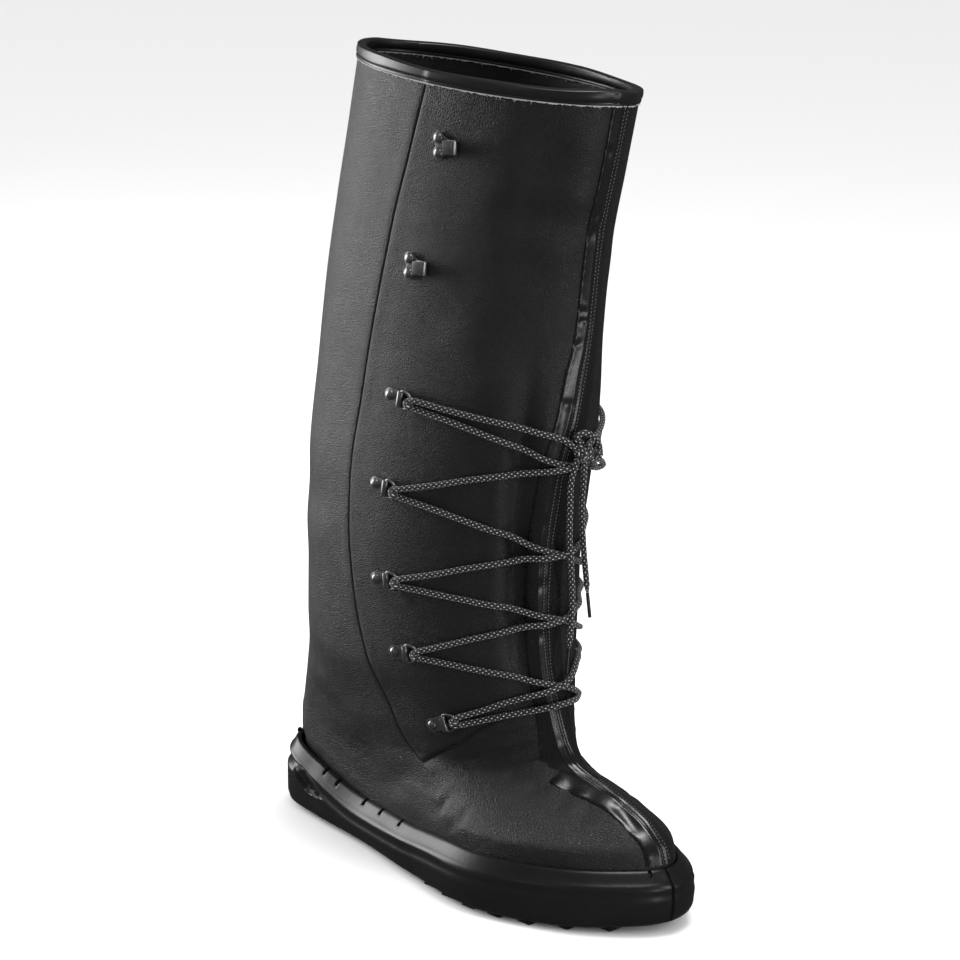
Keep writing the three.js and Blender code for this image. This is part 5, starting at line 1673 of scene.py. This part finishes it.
@dataclass
class Lacing:
    """The lace: its run through the rings, the knot, the bow's loops and the two hanging ends."""

    lace: float = 0.004
    aglet: float = 0.0022
    step: float = 0.0007
    pitch: float = 0.0036
    over: float = 0.0032
    under: float = 0.0004
    halfway: float = 0.1
    half_rise: float = 0.0046
    ring_turn: float = 0.036
    tent_turn: float = 0.07
    tent: float = 0.0026

    # Rises of the climbing and the falling strand at the outer stations, then where the two of a
    # pair cross, then their rises at the inner station.
    stations: tuple[float, ...] = (0.15, 0.1, -0.05)
    crossings: Table = Table(
        ("pair", "up_far", "up", "down_far", "down", "turn", "cross", "climbed", "fallen"),
        (
            (0, 0.158, 0.1809, 0.2301, 0.2227, 0.0187, 0.2024, 0.2286, 0.1821),
            (1, 0.2581, 0.2771, 0.3229, 0.3153, 0.0168, 0.295, 0.3088, 0.2726),
            (2, 0.3583, 0.3736, 0.4318, 0.416, 0.0213, 0.3862, 0.3972, 0.3618),
            (3, 0.4813, 0.4957, 0.5525, 0.5366, 0.0198, 0.5095, 0.522, 0.5015),
        ),
    )
    bar: tuple[float, ...] = (0.15, 0.1642, 0.02, 0.1762, 0.178)
    knot_at: tuple[float, ...] = (0.1961, -0.0066, 0.2747)
    top_outer: tuple[float, ...] = (0.02, 0.5427, 0.5613)
    top_inner: tuple[float, ...] = (-0.05, 0.545, 0.56)
    loop_upper: tuple[tuple[float, ...], ...] = (
        (0.1951, -0.0068, 0.280), (0.1932, -0.0092, 0.2833), (0.1944, -0.0055, 0.2862), (0.1959, -0.0002, 0.2845),
        (0.1969, 0.0049, 0.2798), (0.1975, 0.0063, 0.2746), (0.1994, 0.0044, 0.2726), (0.1994, 0.0012, 0.2739),
    )
    loop_inner: tuple[tuple[float, ...], ...] = (
        (0.1962, -0.0016, 0.272), (0.195, 0.0064, 0.2694), (0.1926, 0.013, 0.2666), (0.190, 0.0174, 0.263),
        (0.1916, 0.011, 0.2626), (0.1948, 0.0028, 0.2648),
    )
    end_short: tuple[tuple[float, ...], ...] = (
        (0.1966, -0.0056, 0.2698), (0.1928, -0.0014, 0.2586), (0.1896, 0.0012, 0.2433), (0.1876, 0.0045, 0.2265),
        (0.1874, 0.007, 0.2102), (0.1892, 0.0082, 0.1938), (0.1902, 0.0084, 0.1866),
    )
    end_long: tuple[tuple[float, ...], ...] = (
        (0.1945, -0.0094, 0.2708), (0.1914, -0.0104, 0.2573), (0.1888, -0.0078, 0.2389), (0.1876, -0.0058, 0.220),
        (0.1874, -0.0028, 0.198), (0.1864, -0.0003, 0.1841), (0.1885, -0.0028, 0.1625), (0.189, -0.0042, 0.154),
    )
    aglet_short: tuple[tuple[float, ...], ...] = ((0.19025, 0.0084, 0.1862), (0.1926, 0.009, 0.1712))
    aglet_long: tuple[tuple[float, ...], ...] = ((0.18905, -0.0043, 0.1536), (0.1908, -0.007, 0.139))

    def ring_exit(self, metal: Metalwork, k: int, side: Side, half: int) -> Array:
        """Returns where a strand leaves a ring, in the ring's upper or lower half."""
        origin, forward, up, out = RINGS[k].frame(side)
        reach = metal.clip_reach + metal.eye_inner + metal.ring_reach + metal.ring_wire / 2 + 2 * FORM.gap
        spot = origin + forward * reach + up * (half * (self.lace / 2 + FORM.gap)) + out * (metal.eye_outer + 0.0004)
        return np.array(spot)

    def loop_round(self, metal: Metalwork, k: int, side: Side, first: int) -> list[Array]:
        """Returns points that take the lace over a ring's front wire and back out under it."""
        origin, forward, up, out = RINGS[k].frame(side)
        wire = metal.clip_reach + metal.eye_inner + metal.ring_reach
        lift = metal.eye_outer
        spots = (
            (wire + 0.0006, 0.7 * first, lift + 0.0024),
            (wire - 0.0028, 0.4 * first, lift + 0.0018),
            (wire - 0.0034, -0.2 * first, lift + 0.0004),
            (wire - 0.0002, -0.8 * first, lift + 0.0001),
        )
        half = self.lace / 2 + FORM.gap
        return [np.array(origin + forward * a + up * (b * half) + out * c) for a, b, c in spots]

    def lifted(self, turn: Array, rise: Array, more: Array | float = 0.0) -> Array:
        """Returns places for a strand's middle over the leather and the tape."""
        lift = 0.0008 + self.lace / 2 + np.clip(relief(turn, rise), 0, 0.0008)
        away = np.abs(turn - FORM.front_seam(rise)) / self.tent_turn
        return FORM.skin(turn, rise, lift + more + self.tent * ease(0, 0.6, 1 - away))

    def ring_place(self, k: int, side: Side, half: int, metal: Metalwork) -> tuple[float, float]:
        """Returns the turn and rise under a strand's exit from a ring."""
        seat = RINGS[k]
        reach = metal.clip_reach + metal.eye_inner + metal.ring_reach + metal.ring_wire / 2 + 2 * FORM.gap
        climb = math.sin(math.radians(seat.lean)) * reach / (FORM.boot_height - FORM.lip_height)
        turn = -side.value * (seat.turn - self.ring_turn * math.cos(math.radians(seat.lean)))
        return turn, seat.rise + climb + half * self.half_rise

    def over_front(self, metal: Metalwork, low: int, high: int, row: tuple[float, ...]) -> Array:
        """Finds a strand's places from an outer ring over the front to an inner one.

        Args:
            metal: The metalwork whose rings hold the strand.
            low: The outer ring's index.
            high: The inner ring's index.
            row: The rises at the outer stations, the crossing's turn and rise, and the inner station's rise.

        Returns:
            The points from the outer ring to the inner one.
        """
        far, near, cross_turn, cross, inner = row
        climbs = low <= high
        half = 1 if low < high else -1
        start = self.ring_place(low, Side.OUTER, half, metal)
        half_end = 1 if low > high else -1
        end = self.ring_place(high, Side.INNER, half_end, metal)
        knots = [end, (self.stations[2], inner), (cross_turn, cross), (self.stations[1], near)]
        if start[0] > self.stations[0] + 0.01:
            knots.append((self.stations[0], far))
        rises = Table(("turn", "rise"), (*knots, start))
        shares = np.array([0.84, 0.7, 0.55, 0.42, 0.3, 0.2, 0.1, 0.0])
        turns = np.array([start[0] * s for s in shares] + [end[0] * s for s in shares[-2::-1]])
        near = np.exp(-(((turns - cross_turn) / 0.03) ** 2)) * (low != high)
        more = near * (self.over if climbs else -self.under)
        over = self.lifted(turns, rises.at("rise", turns), more)
        return np.vstack([
            self.ring_exit(metal, low, Side.OUTER, half), over, self.ring_exit(metal, high, Side.INNER, half_end),
        ])

    def top_strand(self, metal: Metalwork, side: Side) -> Array:
        """Returns the points of the strand from a top ring to the knot."""
        turn, rise, halfway = self.top_outer if side is Side.OUTER else self.top_inner
        shares = (0.85, 0.62, 0.42, 0.25, 0.1) if side is Side.OUTER else (0.85, 0.6, 0.35, 0.1)
        last = len(RINGS) - 1
        start = self.ring_place(last, side, 1, metal)
        rows = [(turn, rise), (-side.value * self.halfway, halfway), start]
        rises = Table(("turn", "rise"), tuple(sorted(rows)))
        turns = np.array([turn + (start[0] - turn) * s for s in shares])
        over = self.lifted(turns, rises.at("rise", turns))
        knot = np.array(self.knot_at)
        end = knot + unit(over[-1] - knot) * 0.004
        return np.vstack([self.ring_exit(metal, last, side, 1), over, end])

    def run(self, metal: Metalwork) -> Array:
        """Returns the lace's whole way from the knot through all rings and back to the knot."""
        rows = [(r[1], r[2], r[5], r[6], r[7]) for r in self.crossings.rows]
        falling = [(r[3], r[4], r[5], r[6], r[8]) for r in self.crossings.rows]
        last = len(RINGS) - 1

        def climb(side: Side) -> list[Array]:
            """Returns the points from a lowest ring up to the knot."""
            points, at = [], side
            for k, row in enumerate(rows):
                outer_first = at is Side.OUTER
                strand = self.over_front(metal, k, k + 1, row) if outer_first else self.over_front(metal, k + 1, k, falling[k])[::-1]
                points += list(strand)
                at = Side.INNER if outer_first else Side.OUTER
                points += self.loop_round(metal, k + 1, at, -1)
            points += list(self.top_strand(metal, at))
            return points

        first = self.loop_round(metal, 0, Side.OUTER, -1)
        second = self.loop_round(metal, 0, Side.INNER, -1)
        bar = self.over_front(metal, 0, 0, self.bar)
        outer = climb(Side.OUTER)
        inner = climb(Side.INNER)
        return np.array([*outer[::-1], *first[::-1], *bar, *second, *inner])

    def knot(self) -> bpy.types.Object:
        """Models the bow's knot from two turns of the lace drawn round a core."""
        centre = np.array(self.knot_at)
        out = FORM.normal(np.array(0.0), np.array(0.525))
        up = unit(np.array([0, 0, 1.0]) - out * out[2])
        across = np.cross(up, out)
        parts = []
        for shift, lean, size in ((-0.0018, 0.35, 0.0034), (0.0022, -0.5, 0.0031)):
            axis = unit(across + lean * up)
            side = np.cross(axis, out)
            angle = np.linspace(0, 2 * np.pi * 1.06, 40)[:, None]
            ring = centre + across * shift + size * (np.cos(angle) * out + np.sin(angle) * 1.15 * side)
            parts.append(tube("turn", catmull(ring, self.step), self.lace * 0.46, 20, 0.0002, self.pitch))
        deselect()
        bpy.ops.mesh.primitive_uv_sphere_add(segments=20, ring_count=12, radius=0.0034, location=self.knot_at)
        core = settle(bpy.context.object, "core")
        deselect()
        for part in (*parts, core):
            part.select_set(True)
        bpy.context.view_layer.objects.active = core
        bpy.ops.object.join()
        return settle(core, "bow_knot")

    def build(self, metal: Metalwork, braid: bpy.types.Material, tip: bpy.types.Material) -> None:
        """Builds the lace's run, knot, loops, ends and aglets."""
        run = tube("lace_run", catmull(self.run(metal), self.step), self.lace / 2 - 0.0001, 22, 0.00025, self.pitch)
        crossings = [f"lace_crossing_{k}" for k in range(1, len(RINGS))]
        finish_piece(run, "braid", braid, "lace_bar", *crossings, "lace_top_outer", "lace_top_inner", angle=80)
        finish_piece(self.knot(), "braid", braid, "lace_knot", angle=80)
        for name, points, far_end, aglet in (
            ("loop_upper", self.loop_upper, "knot", None),
            ("loop_inner", self.loop_inner, "knot", None),
            ("end_short", self.end_short, "fitting", self.aglet_short),
            ("end_long", self.end_long, "fitting", self.aglet_long),
        ):
            path = catmull(np.array(points), self.step)
            radius = np.full(len(path), self.lace / 2 - 0.0001)
            if aglet:
                radius[-8:] = np.linspace(self.lace / 2, self.aglet / 2, 8)
            obj = tube(f"bow_{name}", path, radius, 22, 0.0003, self.pitch)
            finish_piece(obj, "braid", braid, f"lace_{name}", angle=80)
            if aglet:
                line = np.linspace(aglet[0], aglet[1], 12)
                cap = tube(f"bow_aglet_{name[4:]}", line, self.aglet / 2)
                finish_piece(cap, "braid", tip, f"lace_aglet_{name[4:]}")


# ----- Studio


@dataclass
class Studio:
    """The camera at the photograph's angle, the soft lights and the pale floor."""

    azimuth: float = 45.0
    elevation: float = 15.07
    roll: float = 2.0
    distance: float = 2.0
    target: tuple[float, float, float] = (0.117, 0.0, 0.200)
    target_pixel: tuple[float, float] = (491.7, 546.6)
    image_size: float = 960.0
    pixels_per_metre: float = 1649.0
    sensor: float = 36.0
    surround: float = 1.03
    surround_gloss: float = 0.08

    def axes(self) -> tuple[Vector, Vector, Vector]:
        """Returns the right, up and back directions of a level camera."""
        a, e = math.radians(self.azimuth), math.radians(self.elevation)
        back = Vector((math.sin(a) * math.cos(e), -math.cos(a) * math.cos(e), math.sin(e)))
        right = Vector((math.cos(a), math.sin(a), 0))
        return right, back.cross(right), back

    def camera(self) -> None:
        """Makes the camera."""
        right, up, back = self.axes()
        c, s = math.cos(math.radians(self.roll)), math.sin(math.radians(self.roll))
        x_axis, y_axis = right * c + up * s, up * c - right * s
        spot = Vector(self.target) + back * self.distance
        data = bpy.data.cameras.new("camera")
        data.sensor_width = self.sensor
        data.lens = self.pixels_per_metre * self.distance * self.sensor / self.image_size
        data.shift_x = (self.image_size / 2 - self.target_pixel[0]) / self.image_size
        data.shift_y = (self.target_pixel[1] - self.image_size / 2) / self.image_size
        data.clip_end = 100
        camera = bpy.data.objects.new("camera", data)
        columns = (x_axis, y_axis, back, spot)
        camera.matrix_world = Matrix([[v[k] for v in columns] for k in range(3)] + [[0, 0, 0, 1]])
        bpy.context.collection.objects.link(camera)
        bpy.context.scene.camera = camera

    def light(self, name: str, side: float, height: float, towards: float, size: tuple[float, float], power: float) -> None:
        """Makes an area light.

        Args:
            name: The light's name.
            side: How far it stands to the camera's right.
            height: Its height above the floor.
            towards: How far it stands towards the camera.
            size: Its width and height.
            power: Its power in watts.
        """
        right, _, back = self.axes()
        level = Vector((back.x, back.y, 0)).normalized()
        aim = Vector((self.target[0], self.target[1], 0.22))
        spot = Vector((self.target[0], self.target[1], height)) + right * side + level * towards
        data = bpy.data.lights.new(name, "AREA")
        data.shape = "RECTANGLE"
        data.size, data.size_y = size
        data.energy = power
        lamp = bpy.data.objects.new(name, data)
        lamp.location = spot
        lamp.rotation_mode = "QUATERNION"
        lamp.rotation_quaternion = (aim - spot).to_track_quat("-Z", "Y")
        bpy.context.collection.objects.link(lamp)

    def lights(self) -> None:
        """Makes the soft lights and the surround, which is bright on the floor and dim in the gloss."""
        self.light("back_left", -1.7, 0.62, -0.9, (0.9, 1.5), 38)
        self.light("front_left", -1.3, 0.9, 1.5, (0.4, 1.3), 1.5)
        self.light("front_right", 1.5, 0.8, 0.9, (0.4, 1.2), 10)
        self.light("low_right", 0.85, 0.16, 1.15, (0.22, 0.3), 2.2)
        self.light("top", 0.25, 2.0, 0.1, (0.7, 0.7), 22)
        world = bpy.data.worlds.new("surround")
        world.use_nodes = True
        nodes, links = world.node_tree.nodes, world.node_tree.links
        path = nodes.new("ShaderNodeLightPath")
        dim = nodes.new("ShaderNodeMapRange")
        dim.inputs["To Min"].default_value = self.surround
        dim.inputs["To Max"].default_value = self.surround_gloss
        links.new(path.outputs["Is Glossy Ray"], dim.inputs["Value"])
        links.new(dim.outputs["Result"], nodes["Background"].inputs["Strength"])
        nodes["Background"].inputs["Color"].default_value = (1, 1, 1, 1)
        bpy.context.scene.world = world
        bpy.context.scene.view_settings.view_transform = "Standard"

    def floor(self) -> None:
        """Lays the pale floor."""
        deselect()
        bpy.ops.mesh.primitive_plane_add(size=40, location=(0, 0, 0))
        floor = bpy.context.object
        floor.name = "studio_floor"
        s = Shader("pale_floor")
        s.main.inputs["Base Color"].default_value = (0.93, 0.93, 0.93, 1)
        s.main.inputs["Roughness"].default_value = 0.6
        s.main.inputs["Specular IOR Level"].default_value = 0.2
        floor.data.materials.append(s.material)
        floor.visible_glossy = False


def main() -> None:
    """Builds the studio, then the overshoe from its cords inwards."""
    logging.basicConfig(level=logging.INFO, format="%(message)s")
    studio = Studio()
    studio.camera()
    leather = LeatherFinish().material()
    gloss = GlossFinish("gloss_tape").material()
    rubber = RubberFinish().material()
    felt = FeltFinish("felt").material()
    steel = SteelFinish().material()
    braid = BraidFinish().material()
    light_thread = ThreadFinish("tape_thread", (0.075, 0.075, 0.075)).material()
    dark_thread = ThreadFinish("dark_thread", (0.006, 0.006, 0.006)).material()
    fray = ThreadFinish("raw_edge", (0.24, 0.24, 0.235)).material()
    trim = GlossFinish("collar_trim", (0.006, 0.006, 0.0063), 0.36, 0.0006).material()
    tip = GlossFinish("aglet_film", rough=0.3).material()
    metal = Metalwork()
    Lacing().build(metal, braid, tip)
    metal.build(steel)
    upper = Upper()
    upper.build(leather, dark_thread)
    FrontTape().build(gloss, light_thread, upper)
    CollarBinding().build(trim, dark_thread, fray)
    Outsole().build(rubber)
    Insole().build(felt)
    studio.lights()
    studio.floor()


if __name__ == "__main__":
    main()
